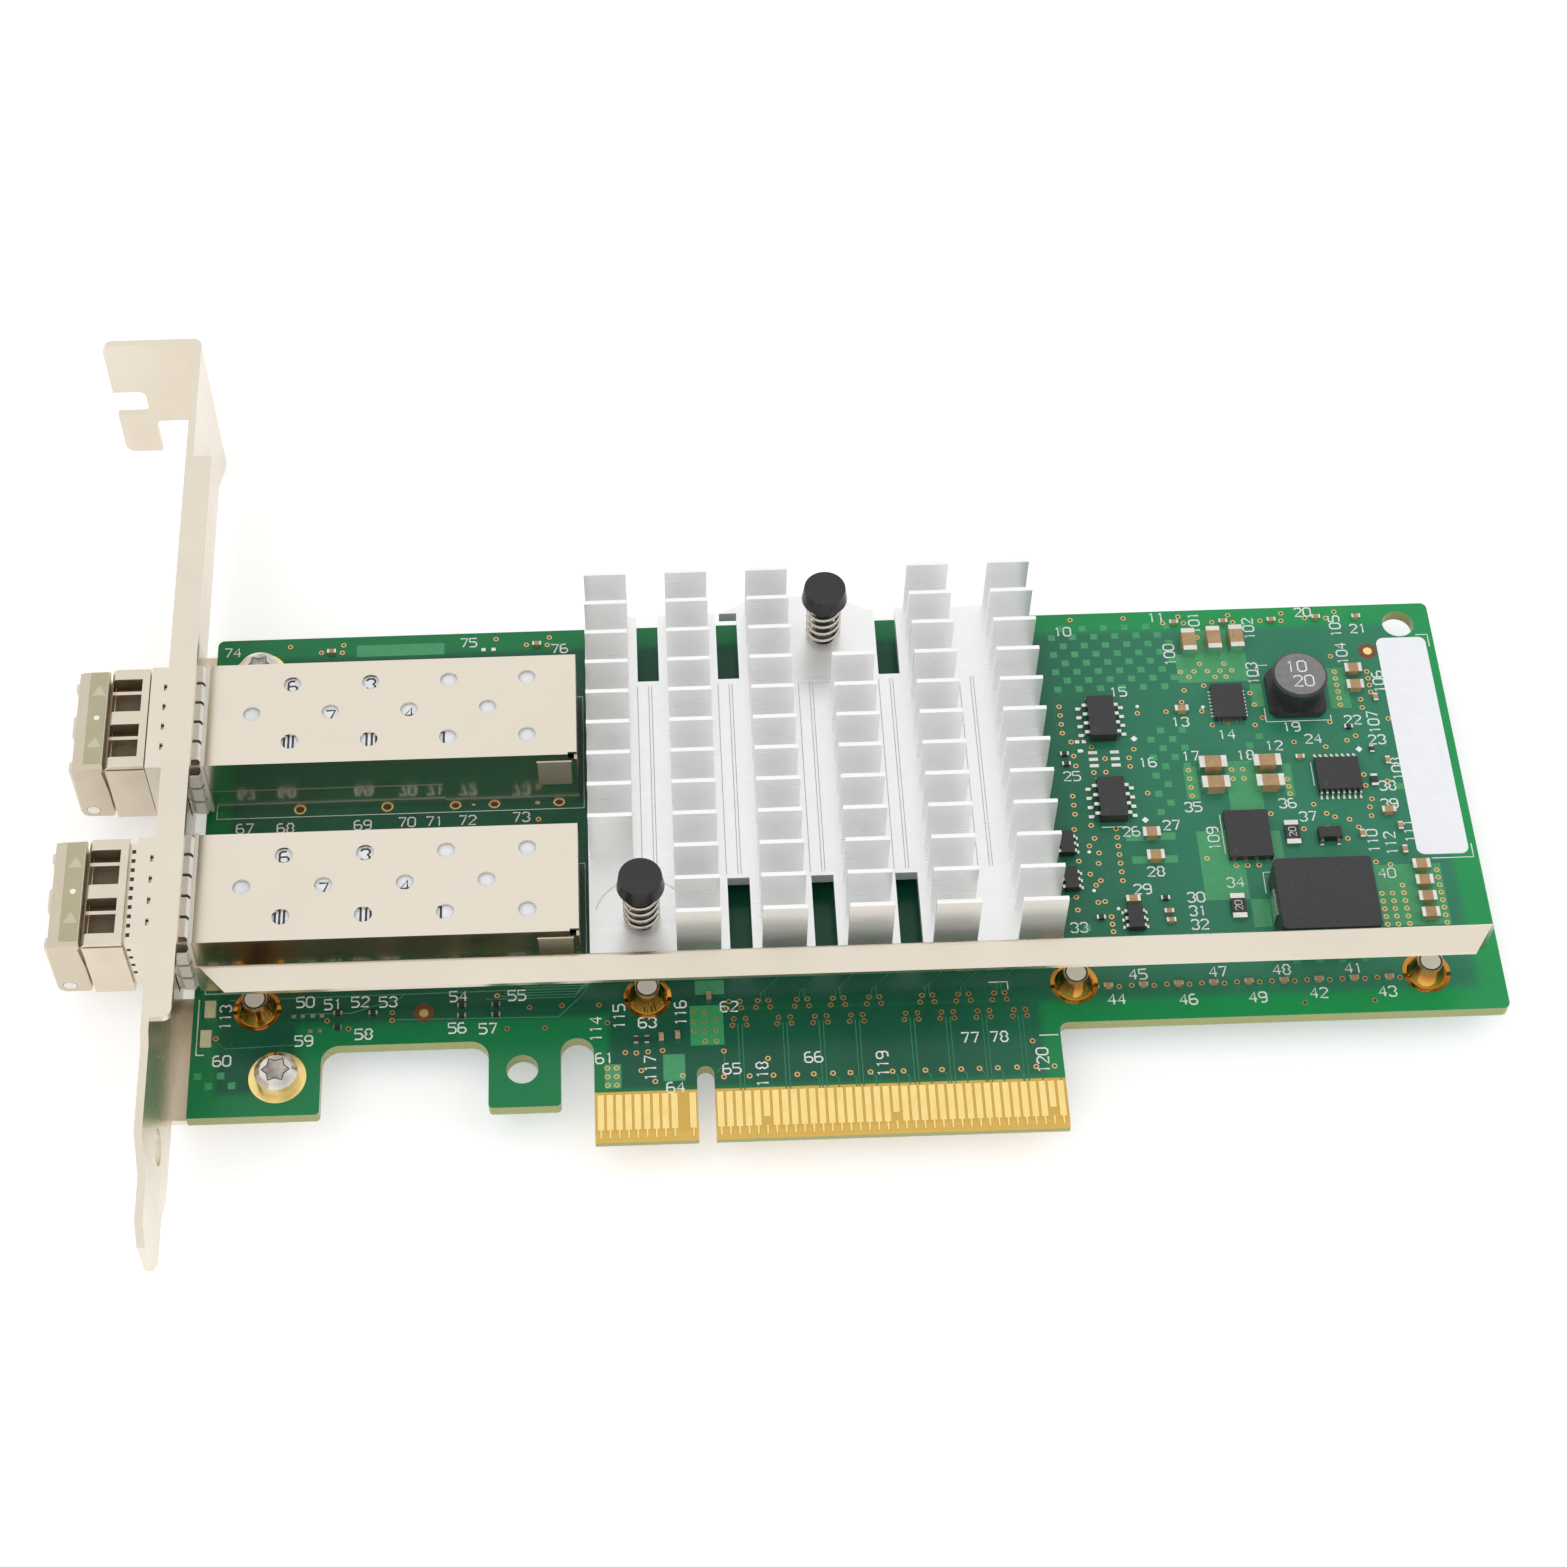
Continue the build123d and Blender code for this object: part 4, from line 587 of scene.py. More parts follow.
def via_places():
    """Places of all plated holes, by rows, columns, capacitors and then alone."""
    for x in pair_xs:
        for dx, dy in ((0, 0), (1.3, 0), (-0.2, -0.8), (1.4, -0.8)):
            yield x + dx, pair_y + dy
    for x in high_pair_xs:
        for dx, dy in ((0, 0), (1.2, 0), (-0.25, -0.85), (1.35, -0.85)):
            yield x + dx, high_pair_y + dy
    for x in tap_xs:
        yield x, tap_y
    for x, y, step, count in via_columns:
        for i in range(count):
            yield x, y + i * step
    for x, y in row_cap_places:
        yield x - row_via_gap, y + 0.1
        yield x + row_via_gap, y
    yield from lone_vias


def via_model():
    """A plated ring round a sunken dark hole."""
    ring = disc("ring", 0, 0, 0.0, via_height, via_r, sides=12)
    ring.data.materials.append(RING)
    ring.data.materials.append(WELL)
    bpy.ops.object.mode_set(mode="EDIT")
    pick(ring, lambda face: face.normal.z > 0.9)
    bpy.ops.mesh.inset(thickness=(via_r - via_bore) * MM)
    bpy.ops.mesh.extrude_region_move(TRANSFORM_OT_translate={"value": (0, 0, -via_depth * MM)})
    piece = bmesh.from_edit_mesh(ring.data)
    for face in piece.faces:
        if face.select:
            face.material_index = 1
    bpy.ops.object.mode_set(mode="OBJECT")
    return ring


def place_vias():
    """Put the plated holes on both faces of the board."""
    places = [shift(x, y) for x, y in via_places()]
    flip = Matrix.Rotation(math.pi, 4, "X")
    below = [shift(x, y, underside) @ flip for x, y in via_places()]
    vias = spread_copies("plated_holes", via_model(), places + below)
    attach(vias, "card")


place_vias()

# Traces to the edge contacts, in pairs, and a few single ones between the parts
contact_top = 5.7
trace_width = 0.16
trace_routes = []
for x in pair_xs:
    for dx in (0.42, 0.88):
        trace_routes.append(((x + dx, 14.0), (x + dx, contact_top)))
for x in high_pair_xs[1:]:
    for dx in (0.35, 0.85):
        trace_routes.append(((x + dx, 16.6), (x + dx, 17.4 + dx), (x + dx + 2.2, 19.6 + dx)))
for x in tap_xs[4:]:
    trace_routes.append(((x, tap_y), (x + 0.6, 6.8), (x + 0.6, contact_top)))
trace_routes += [
    ((2.1, 10.6), (2.1, 8.9), (1.2, 8.0)),
    ((77.0, 51.0), (76.0, 51.0), (75.2, 50.2), (73.9, 48.4)),
    ((76.5, 49.2), (75.3, 48.2)),
    ((76.4, 48.0), (76.9, 48.5), (78.4, 48.5), (79.1, 47.7)),
    ((70.2, 39.0), (73.4, 39.3), (73.9, 38.9), (75.0, 38.9)),
    ((74.3, 40.2), (75.1, 38.6)),
    ((75.2, 40.2), (76.0, 39.5), (76.1, 37.2)),
    ((76.4, 35.2), (75.9, 34.2), (75.3, 33.6)),
    ((45.0, 33.8), (46.6, 33.8), (46.5, 27.5), (41.8, 27.5)),
    ((49.9, 28.3), (52.0, 28.3)),
    ((44.0, 57.2), (42.8, 56.0), (42.8, 51.8), (44.4, 50.0)),
    ((58.4, 57.1), (60.2, 57.1), (60.4, 55.4)),
    ((58.3, 54.1), (60.0, 54.0)),
    ((50.0, 48.6), (51.4, 48.9)),
    ((-44.0, 17.0), (-39.0, 16.9), (-33.6, 18.6), (-33.0, 19.2)),
    ((-53.6, 13.7), (-52.8, 12.9), (-45.0, 13.1), (-43.6, 14.6)),
    ((-52.6, 19.0), (-16.0, 19.2)),
    ((-34.0, 15.9), (-16.0, 15.6), (-13.2, 18.4), (-12.6, 19.8)),
]
for i in range(5):
    y = 18.1 + 0.35 * i
    trace_routes.append(((-24.0 + i, y), (-14.2 + 0.3 * i, y), (-12.9 + 0.3 * i, 20.2)))
finish(lines("copper_traces", trace_routes, trace_width, 0.0, art_z), "card", TRACE)

# White print: outlines, marks and plain place numbers
print_z = 0.0
print_height = 0.022
outline_width = 0.15
stroke_width = 0.22
print_routes = [
    ((-55.3, 59.0), (-55.3, 43.2), (-12.8, 43.2), (-12.8, 59.0), (-55.3, 59.0)),
    ((-55.3, 35.6), (-55.3, 19.9), (-12.8, 19.9), (-12.8, 35.6), (-55.3, 35.6)),
    ((68.7, 60.4), (67.5, 60.4), (67.5, 58.8)),
    ((67.5, 54.2), (67.5, 52.2), (75.1, 52.2), (75.1, 52.9)),
    ((46.6, 56.4), (49.5, 56.4)), ((46.6, 50.6), (49.5, 50.6)),
    ((46.6, 45.0), (49.5, 45.0)), ((46.6, 38.2), (49.5, 38.2)),
    ((66.0, 31.4), (64.2, 31.4), (64.2, 28.6)), ((74.2, 31.4), (76.2, 31.4), (76.2, 29.4)),
    ((60.3, 39.4), (60.3, 34.0)), ((71.8, 46.2), (71.8, 43.0)),
    ((83.6, 32.6), (88.4, 32.6), (88.4, 34.4)), ((87.0, 64.2), (88.4, 64.2), (88.4, 62.4)),
    ((-55.9, 19.2), (-55.9, 12.2)), ((-55.0, 12.2), (-55.9, 12.2)),
    ((31.8, 18.2), (33.9, 18.2), (33.9, 17.2)), ((36.8, 11.3), (38.9, 11.3)),
]

# Strokes of the plain digits, on a grid 4 wide and 6 high
digit_strokes = {
    "0": ((1, 0), (3, 0), (4, 1), (4, 5), (3, 6), (1, 6), (0, 5), (0, 1), (1, 0)),
    "1": ((1, 5), (2, 6), (2, 0)),
    "2": ((0, 5), (1, 6), (3, 6), (4, 5), (4, 4), (0, 0), (4, 0)),
    "3": ((0, 5), (1, 6), (3, 6), (4, 5), (4, 4), (3, 3), (4, 2), (4, 1), (3, 0), (1, 0), (0, 1)),
    "4": ((3, 0), (3, 6), (0, 2), (4, 2)),
    "5": ((4, 6), (0, 6), (0, 3.5), (3, 3.5), (4, 2.5), (4, 1), (3, 0), (0, 0)),
    "6": ((3, 6), (1, 6), (0, 5), (0, 1), (1, 0), (3, 0), (4, 1), (4, 2.4), (3, 3.3), (0, 3)),
    "7": ((0, 6), (4, 6), (1.5, 0)),
    "8": ((1, 3.2), (0, 4.2), (1, 6), (3, 6), (4, 4.2), (3, 3.2),
          (4, 1.6), (3, 0), (1, 0), (0, 1.6), (1, 3.2)),
    "9": ((1, 0), (3, 0), (4, 1), (4, 5), (3, 6), (1, 6), (0, 5), (0, 3.6), (1, 2.7), (4, 3)),
}


digit_rows = 6
digit_step = 5.2
digit_gap = 1.2


def digit_routes(number, x, y, height, turned=False):
    """Routes of a plain number centred on a place; a turned one reads from the bottom up."""
    text = str(number)
    unit = height / digit_rows
    wide = (len(text) * digit_step - digit_gap) * unit
    for i, digit in enumerate(text):
        route = []
        for u, v in digit_strokes[digit]:
            along = (u + digit_step * i) * unit - wide / 2
            across = v * unit - height / 2
            route.append((x - across, y + along) if turned else (x + along, y + across))
        yield tuple(route)


# Places of the upright numbers, from 10 up, and of the turned ones, from 100 up
number_height = 1.25
number_routes = []
number_places = (
    (44.9, 66.3), (56.4, 68.0), (67.9, 48.8), (57.4, 52.6), (62.6, 50.6), (50.6, 57.2), (52.9, 47.0),
    (58.0, 47.7), (64.4, 47.6), (70.3, 51.4), (74.0, 68.1), (80.3, 65.4), (77.6, 52.1), (80.0, 49.2),
    (72.6, 49.6), (43.9, 45.4), (49.9, 37.5), (54.6, 38.2), (52.1, 32.0), (50.3, 29.7), (56.2, 28.4),
    (56.2, 26.6), (56.2, 24.8), (42.6, 24.9), (60.9, 30.2), (57.4, 40.6), (68.3, 40.7), (70.4, 38.8),
    (80.2, 42.7), (80.0, 40.2), (78.2, 30.8), (72.5, 18.5), (68.2, 15.5), (75.8, 15.4), (45.8, 15.5),
    (48.5, 18.6), (53.7, 15.2), (57.4, 18.6), (64.5, 18.6), (61.4, 15.2), (-44.1, 18.5), (-41.0, 18.1),
    (-38.0, 18.3), (-34.9, 18.2), (-27.1, 18.6), (-20.6, 18.5), (-27.2, 14.6), (-23.8, 14.4), (-37.5, 14.2),
    (-44.1, 13.6), (-53.0, 11.4), (-11.0, 10.2), (2.9, 16.2), (-6.2, 14.5), (-3.3, 6.3), (2.9, 8.4),
    (11.9, 9.5), (-52.0, 41.8), (-47.3, 41.7), (-38.4, 41.8), (-33.3, 42.0), (-30.1, 42.0), (-26.3, 42.0),
    (-20.1, 42.2), (-54.7, 67.1), (-26.4, 67.5), (-15.5, 66.2), (29.2, 11.3), (32.4, 11.3),
)
turned_places = (
    (57.3, 62.4), (60.8, 67.0), (67.2, 65.9), (66.8, 59.3), (77.8, 61.8), (77.6, 65.9), (81.5, 57.5),
    (80.0, 51.7), (81.7, 45.0), (59.2, 36.2), (77.3, 35.2), (81.7, 36.4), (79.3, 34.8), (-52.9, 16.9),
    (-11.9, 13.9), (-9.3, 15.4), (-2.5, 15.6), (-6.0, 8.8), (6.2, 7.6), (19.4, 8.4), (36.9, 8.2),
)
for number, (x, y) in enumerate(number_places, 10):
    number_routes += digit_routes(number, x, y, number_height)
for number, (x, y) in enumerate(turned_places, 100):
    number_routes += digit_routes(number, x, y, number_height, turned=True)
finish(lines("board_outlines", print_routes, outline_width, print_z, print_height), "card", PRINT)
finish(lines("board_numbers", number_routes, stroke_width, print_z, print_height), "card", PRINT)

# Diamonds and dots that mark first pins
dot_places = ((44.8, 34.9), (44.8, 29.7), (47.3, 27.2), (60.3, 54.6), (52.6, 55.0), (45.4, 48.9))
diamond_places = ((51.7, 50.4), (51.7, 39.0), (77.7, 47.9))
dots = [disc("dot", x, y, 0.0, print_height, 0.22, sides=8) for x, y in dot_places]
dots += [disc("diamond", x, y, 0.0, print_height, 0.42, sides=4) for x, y in diamond_places]
finish(join("print_dots", dots), "card", PRINT)

# Round camera targets: a gold dot in a bare ring
target_places = ((80.9, 62.0), (-30.9, 16.6))
target_ring_r = 1.15
target_dot_r = 0.52
for i, (x, y) in enumerate(target_places):
    finish(disc(f"target_ring_{i}", x, y, 0.0, art_z / 2, target_ring_r, sides=32), "card", HALO)
    finish(disc(f"target_dot_{i}", x, y, 0.0, 2 * art_z, target_dot_r, sides=24), "card", GOLD)

# Bare tinned pads of places with no part, and pads under the parts' ends
small_pad_places = (
    (45.0, 50.2), (45.8, 50.2), (45.2, 48.9), (-24.6, 66.4), (-23.4, 66.4), (-45.3, 16.7), (-44.3, 16.7),
    (-43.2, 16.7), (-42.2, 16.7), (-43.4, 14.8), (-42.4, 14.8),
)
bare_pads = [(x, y, 1.05, 0.42) for x in (46.65, 49.2) for y in (46.75, 47.65, 48.6)]
bare_pads += [(x, y, 0.5, 0.45) for x, y in small_pad_places]
pad_plates = [plate("pad", x - w / 2, x + w / 2, y - h / 2, y + h / 2, 0.0, 2 * art_z)
              for x, y, w, h in bare_pads]
finish(join("bare_pads", pad_plates), "card", TIN)

# Small pins of the leadless chips
pin_h = 0.12
pin_out = 0.3
pin_half = 0.12
pin_pitch = 0.5
wide_pin_half = 0.22
wide_pin_pitch = 1.27
chip_pins = []
for i in range(8):
    low = 53.15 + pin_pitch * i - pin_half
    high = 53.15 + pin_pitch * i + pin_half
    chip_pins += [(61.4 - pin_out, 61.5, low, high), (65.0, 65.1 + pin_out, low, high)]
for i in range(6):
    low = 62.0 + pin_pitch * i - pin_half
    high = 62.0 + pin_pitch * i + pin_half
    chip_pins += [(low, high, 52.5 - pin_out, 52.6), (low, high, 57.2, 57.3 + pin_out)]
for i in range(4):
    low = 61.2 + wide_pin_pitch * i - wide_pin_half
    high = 61.2 + wide_pin_pitch * i + wide_pin_half
    chip_pins += [(low, high, 33.1 - pin_out, 33.3), (low, high, 39.2, 39.4 + pin_out)]
pin_plates = [plate("pin", x0, x1, y0, y1, 0.0, pin_h) for x0, x1, y0, y1 in chip_pins]
finish(join("leadless_chip_pins", pin_plates), "card", TIN)

# Marks of the first pin, sunk-looking round spots in a chip's top
spots = [disc("spot", x, y, z - 0.01, z + 0.006, r, sides=20) for x, y, z, r in (
    (47.2, 50.9, 1.5, 0.35), (47.2, 39.5, 1.5, 0.35), (72.9, 42.6, 1.0, 0.3), (61.9, 53.0, 0.9, 0.25),
    (61.3, 33.8, 0.9, 0.3),
)]
finish(join("pin_one_spots", spots), "card", DARK_MOULDING_AND_SHADE)

# Value prints: plain numbers in strokes on the drum inductor and the larger resistors
drum_x = 71.3
drum_y = 55.9
drum_rim_z = 4.29
drum_top = 4.306
drum_face_r = 2.95
value_height = 1.5
small_value_height = 0.8
small_stroke = 0.1
resistor_top = 0.6
ink_t = 0.01
drum_face = disc("drum_face", drum_x, drum_y, drum_rim_z, drum_top, drum_face_r, sides=48)
finish(drum_face, "card", GLAZE)
drum_routes = [*digit_routes(10, 71.0, 57.0, value_height), *digit_routes(20, 71.6, 54.9, value_height)]
finish(lines("drum_print", drum_routes, stroke_width, drum_top, 0.012), "card", PRINT)
resistor_routes = [route for x, y in ((60.75, 26.8), (68.2, 36.4))
                   for route in digit_routes(20, x, y, small_value_height, turned=True)]
resistor_print = lines("resistor_print", resistor_routes, small_stroke, resistor_top, ink_t)
finish(resistor_print, "card", PRINT)

# Plated rings and solder round the cages' tails
tail_xs = (-45.7, -35.6, -27.7, -23.2, -15.7)
tail_ys = (44.25, 57.95, 20.9, 34.6)
tail_ring_r = 0.72
tail_well_r = 0.52
solder_r = tail_ring_r * 0.9
solder_height = 0.25
tail_places = [(x, y) for x in tail_xs for y in tail_ys]
rings = [disc("ring", x, y, 0.0, art_z, tail_ring_r) for x, y in tail_places]
finish(join("tail_rings", rings), "card", RING)
wells = [disc("well", x, y, 0.0, 1.5 * art_z, tail_well_r) for x, y in tail_places]
finish(join("tail_wells", wells), "card", WELL)
solder = [disc("solder", x, y, underside - solder_height, underside, solder_r) for x, y in tail_places]
finish(join("tail_solder", solder), "card", TIN)

# Indicator lamps' tinned ends
lamp_places = ((-54.5, 17.6), (-54.8, 13.9))
lamp_half = 0.63
end_inner = 0.62
end_outer = 1.03
end_height = 0.5
lamp_ends = []
for x, y in lamp_places:
    for side in (-1, 1):
        low, high = sorted((y + side * end_outer, y + side * end_inner))
        lamp_ends.append(plate("end", x - lamp_half, x + lamp_half, low, high, 0.0, end_height))
finish(join("lamp_ends", lamp_ends), "card", TIN)

# Fine grooves that the extrusion leaves along the heat sink's channels, and an arc milled by the lower pin,
# drawn as grey raised lines of painted shade
sink_base_z = 3.9
sink_x0 = -12.1
fin_width = 4.9
fin_pitch = 9.43
lower_pin = (-6.45, 25.5)
upper_pin = (15.9, 64.2)
arc_r = 5.3
channel_xs = [sink_x0 + fin_width + (fin_pitch - fin_width) / 2 + fin_pitch * i for i in range(5)]
groove_routes = [((x + dx, 31.0), (x + dx, 57.4)) for x in channel_xs for dx in (-1.3, 0.0, 0.35)]
arc_turns = [math.pi * k / 24 for k in range(5, 23)]
arc = [(lower_pin[0] + arc_r * math.cos(turn), lower_pin[1] + arc_r * math.sin(turn)) for turn in arc_turns]
GROOVE_SHADE = varied("painted_groove_shade", (0.70, 0.70, 0.69), (0.66, 0.66, 0.65), (0.3, 0.4), 0.8, 900.0, grain=0.05)
finish(lines("sink_groove_shades", groove_routes + [arc], 0.1, sink_base_z, 0.008), "card", GROOVE_SHADE)


def star(name, x, y, z0, z1, outer, inner):
    """A six-lobed plate, for the drive of a screw."""
    piece = disc(name, x, y, z0, z1, outer, sides=12)
    mesh = bmesh.new()
    mesh.from_mesh(piece.data)
    for vert in mesh.verts:
        across = Vector((vert.co.x - x * MM, vert.co.y - y * MM))
        turn = round(math.degrees(math.atan2(across.y, across.x)) / 30)
        if turn % 2:
            vert.co.x = x * MM + across.x * inner / outer
            vert.co.y = y * MM + across.y * inner / outer
    mesh.to_mesh(piece.data)
    mesh.free()
    return piece


# Screw drives: a dark six-lobed plate, painted shade of the recess, under a smaller floor of darker patchy
# plate, painted shade and reflections of the recess's floor
screw_places = ((-46.8, 9.1), (-51.2, 63.6))
drives = [star("drive", x, y, 1.94, 1.956, 1.62, 1.12) for x, y in screw_places]
finish(join("screw_drive_shades", drives), "card", DARK_MOULDING_AND_SHADE)
floors = [star("floor", x, y, 1.95, 1.962, 1.46, 0.98) for x, y in screw_places]
finish(join("screw_drive_floor_shades", floors), "card", DRIVE_FLOOR_SHADE)

# Rivet ends in the stiffener's feet: a flat bright disc, painted highlight of a dished end, in a dark rim of
# painted shade
rivet_y = 17.7
foot_top = 2.45
rivet_xs = (-49.4, -6.1, 41.3, 80.5)
rim_r = 1.28
dish_r = 1.08
rim_shades = [disc("rim", x, rivet_y, foot_top - 0.01, foot_top + 0.012, rim_r, sides=32) for x in rivet_xs]
finish(join("rivet_rim_shades", rim_shades), "card", WELL)
dish_highlights = [disc("dish", x, rivet_y, foot_top, foot_top + 0.02, dish_r, sides=32) for x in rivet_xs]
finish(join("rivet_dish_highlights", dish_highlights), "card", FINGER_AND_HIGHLIGHT)

# Tie-bar stubs that run from the contacts to the edge of the tab
stub_half = 0.09
stub_t = 0.03
stub_xs = [-1.5 - i for i in range(11) if i != 1] + [1.5 + i for i in range(38)]
stubs = [plate("stub", x - stub_half, x + stub_half, 0.35, 1.4, z, z + stub_t)
         for x in stub_xs for z in (0.0, underside - stub_t)]
finish(join("contact_stubs", stubs), "card", GOLD)

# Painted highlights along the cages' sides, where the folded skirt ends
seam_ys = (20.75, 34.75, 44.1, 58.1)
seam_highlights = [plate("seam", -55.4, -28.8, y - 0.02, y + 0.02, 4.36, 4.46) for y in seam_ys]
finish(join("cage_seam_highlights", seam_highlights), "card", SEAM_HIGHLIGHT)

# Painted reflections on the faces of the tabs that stand proud at the rear of the cages' sides
tab_ys = (20.65, 34.85, 44.0, 58.2)
tab_reflections = [plate("tab", -17.8, -14.0, y - 0.01, y + 0.01, 3.9, 8.2) for y in tab_ys]
finish(join("cage_tab_reflections", tab_reflections), "card", TAB_REFLECTION)

# Painted shade in the gaps of the ring behind the lower module's head, on its top and its sides: thin dark
# plates in the slots
ring_gap_x0 = -62.9
ring_gap_x1 = -62.42
ring_floor = 8.92
gap_half = 0.22
gap_t = 0.03
lower_module_y = 27.75
gap_pitch = 1.2
gap_ys = [lower_module_y + gap_pitch * (i - 4.5) for i in range(10)]
gap_shades = [plate("gap", ring_gap_x0, ring_gap_x1, y - gap_half, y + gap_half, ring_floor, ring_floor + gap_t)
        for y in gap_ys]
gap_shades += [plate("gap", ring_gap_x0, ring_gap_x1, y - gap_t, y + gap_t, z - gap_half, z + gap_half)
         for y in (21.5, 34.0) for z in (3.0, 4.6, 6.2, 7.8)]
finish(join("ring_gap_shades", gap_shades), "module_lower", INK_AND_SLOT_SHADE)

# Coil springs of round wire, which take the place of the model's springs
wire_r = 0.22
coil_r = 1.85
coil_z0 = 4.17
coil_z1 = 10.63
coil_turns = 5
turn_steps = 24
coil_steps = coil_turns * turn_steps
for side, (x, y) in (("upper", upper_pin), ("lower", lower_pin)):
    helix = []
    for k in range(coil_steps + 1):
        around = 2 * math.pi * k / turn_steps
        z = coil_z0 + (coil_z1 - coil_z0) * k / coil_steps
        helix.append((x + coil_r * math.cos(around), y + coil_r * math.sin(around), z))
    coil = finish(wire(f"coil_{side}", [helix], wire_r, resolution=2), "card", SPRING)
    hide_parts(f"spring_{side}")
    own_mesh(coil)

# Each module: a printed label under the cage's vents, dark plates of painted shade inside its windows, and
# the tinted top of its bail with a painted highlight for its dimple
module_places = (("upper", 51.1, 0.0), ("lower", lower_module_y, -0.8))
cover_top = 9.2
label_x0 = -57.0
label_x1 = -15.4
label_t = 0.02
label_half = 6.2
label_stroke = 0.26
label_digits = ((-45.9, 4.0, 6), (-36.9, 4.0, 3), (-41.4, -0.3, 7), (-32.4, -0.3, 4))
label_bar_xs = (-46.6, -46.1, -45.6, -37.2, -36.6, -36.1, -28.4)
port_offset = 3.15
window_half = 2.2
window_x0 = -66.5
window_x1 = -63.25
window_floor = 7.85
window_top = 9.5
lining_t = 0.04
bar_top = 9.9
bar_x = -68.1
tint_x0 = -69.2
tint_x1 = -67.15
tint_half = 6.4
arrow_r = 0.95
arrow_offset = 3.6
dimple_r = 0.33
for side, yc, dx in module_places:
    label_top = cover_top + label_t
    label = plate(f"module_label_{side}", label_x0, label_x1, yc - label_half, yc + label_half,
                  cover_top, label_top)
    finish(label, f"module_{side}", LABEL)
    routes = [route for x, v, digit in label_digits for route in digit_routes(digit, x, yc + v, value_height)]
    routes += [((x, yc - 5.2), (x, yc - 2.8)) for x in label_bar_xs]
    finish(lines(f"module_label_print_{side}", routes, label_stroke, label_top, ink_t),
           f"module_{side}", INK_AND_SLOT_SHADE)
    # Dark plates in the windows, painted shade on their floors and two walls
    window_shade_plates = []
    x0 = window_x0 + dx
    x1 = window_x1 + dx
    for y in (yc - port_offset, yc + port_offset):
        y0 = y - window_half
        y1 = y + window_half
        window_shade_plates.append(plate("shade_plate", x0, x1, y0, y1, window_floor, window_floor + lining_t / 2))
        window_shade_plates.append(plate("shade_plate", x0, x1, y1, y1 + lining_t, window_floor, window_top))
        window_shade_plates.append(plate("shade_plate", x1, x1 + lining_t, y0, y1, window_floor, window_top))
    finish(join(f"window_shades_{side}", window_shade_plates), f"module_{side}", SHADE)
    tint = plate("tint", tint_x0 + dx, tint_x1 + dx, yc - tint_half, yc + tint_half,
                 bar_top - 0.01, bar_top + 0.015, corner=0.2)
    finish(tint, f"bail_{side}", TINT)
    tint.name = f"bail_tint_{side}"
    marks = [disc("arrow", bar_x + dx, yc + v, bar_top, bar_top + 0.025, arrow_r, sides=3)
             for v in (-arrow_offset, arrow_offset)]
    finish(join(f"bail_arrows_{side}", marks), f"bail_{side}", ARROW)
    # The dimple: a bright disc, a painted highlight in the bar's hollow
    finish(disc(f"bail_dimple_highlight_{side}", bar_x + dx, yc, bar_top, bar_top + 0.03, dimple_r, sides=24),
           f"bail_{side}", FINGER_AND_HIGHLIGHT)


# Floor, lights and camera

floor_z = cad_box[0][2] - 0.02 * MM
floor_glow = 0.34
far_glow = 1.0
glow_start = 0.3
glow_end = 1.2
sky_for_light = 0.5
sky_for_view = 1.0


def seen_rays(tree):
    """One for rays from the camera, off gloss and through glass, nought for light that falls on things."""
    path = tree.nodes.new("ShaderNodeLightPath")
    clear = compute(tree, "MAXIMUM", path.outputs["Is Glossy Ray"], path.outputs["Is Transmission Ray"])
    return compute(tree, "MAXIMUM", path.outputs["Is Camera Ray"], clear)


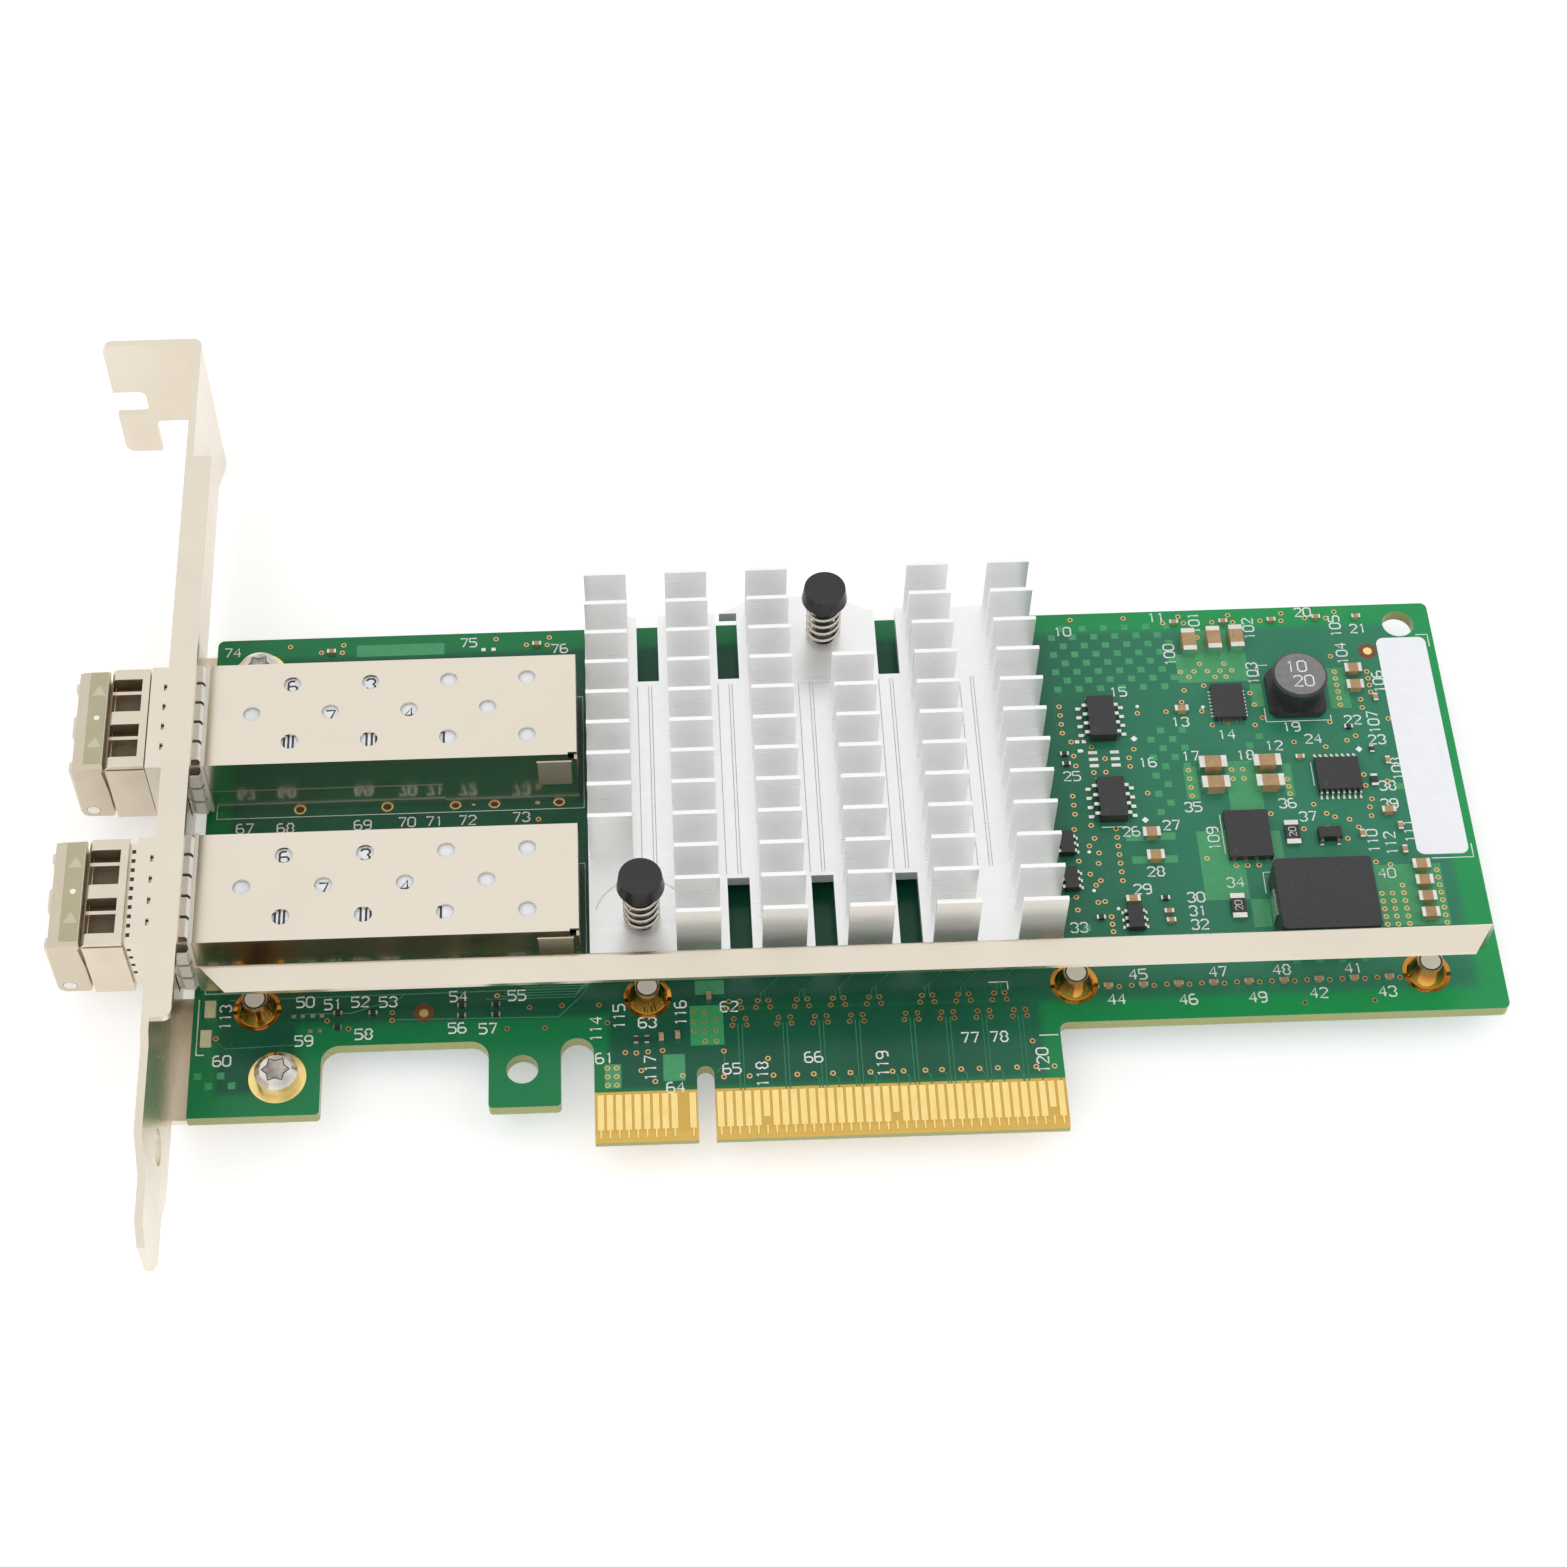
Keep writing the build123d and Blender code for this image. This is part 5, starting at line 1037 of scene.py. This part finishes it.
def floor_material():
    """Pale floor that glows a little for the camera, so that it shows white with the object's soft shadow."""
    material, tree, shader = new_material("pale_floor", (0.86, 0.86, 0.86), 0.8)
    shader.inputs["Emission Color"].default_value = (1.0, 1.0, 1.0, 1.0)
    distance = tree.nodes.new("ShaderNodeVectorMath")
    distance.operation = "LENGTH"
    link(tree, coordinates(tree), distance.inputs[0])
    glow = spread(tree, distance.outputs["Value"], floor_glow, far_glow, glow_start, glow_end)
    link(tree, compute(tree, "MULTIPLY", seen_rays(tree), glow), shader.inputs["Emission Strength"])
    return material


bpy.ops.mesh.primitive_plane_add(size=6.0, location=(0.0, 0.0, floor_z))
floor = bpy.context.object
floor.name = "floor"
floor.data.materials.append(floor_material())

world = bpy.data.worlds.new("studio")
bpy.context.scene.world = world
world.use_nodes = True
sky = world.node_tree.nodes["Background"]
sky.inputs["Color"].default_value = (1.0, 1.0, 1.0, 1.0)
seen = seen_rays(world.node_tree)
link(world.node_tree, spread(world.node_tree, seen, sky_for_light, sky_for_view, 0.0, 1.0),
     sky.inputs["Strength"])


def soft_box(name, place, target, size, power):
    """A square area lamp aimed at a point, left out of reflections, which show the white sky alone."""
    data = bpy.data.lights.new(name, "AREA")
    data.shape = "SQUARE"
    data.size = size
    data.energy = power
    lamp = bpy.data.objects.new(name, data)
    bpy.context.collection.objects.link(lamp)
    lamp.location = place
    aim = Vector(target) - Vector(place)
    lamp.rotation_euler = aim.to_track_quat("-Z", "Y").to_euler()
    lamp.visible_glossy = False
    return lamp


light_target = (0.0, 0.04, 0.0)
soft_box("key", (-0.45, -0.35, 0.85), light_target, 1.35, 4.6)
soft_box("fill", (0.75, 0.1, 0.75), light_target, 1.0, 2.0)
soft_box("back", (0.0, 0.9, 0.6), light_target, 1.0, 2.0)
soft_box("front", (0.1, -0.9, 0.35), light_target, 0.8, 2.6)

# The camera that was fitted to the photograph, its place in mm
camera_place = Vector((-3.86, -149.92, 291.15))
camera_data = bpy.data.cameras.new("camera")
camera = bpy.data.objects.new("camera", camera_data)
bpy.context.collection.objects.link(camera)
camera_data.sensor_width = 36.0
camera_data.lens = 69.37
camera_data.shift_x = 0.0685
camera_data.clip_end = 10.0
right = Vector((0.99947, -0.02951, -0.01377))
up = Vector((0.03217, 0.82892, 0.55845))
back = right.cross(up).normalized()
up = back.cross(right).normalized()
turn = Matrix((right.normalized(), up, back)).transposed().to_4x4()
camera.matrix_world = Matrix.Translation(camera_place * MM) @ turn
bpy.context.scene.camera = camera
bpy.context.scene.view_settings.view_transform = "Standard"
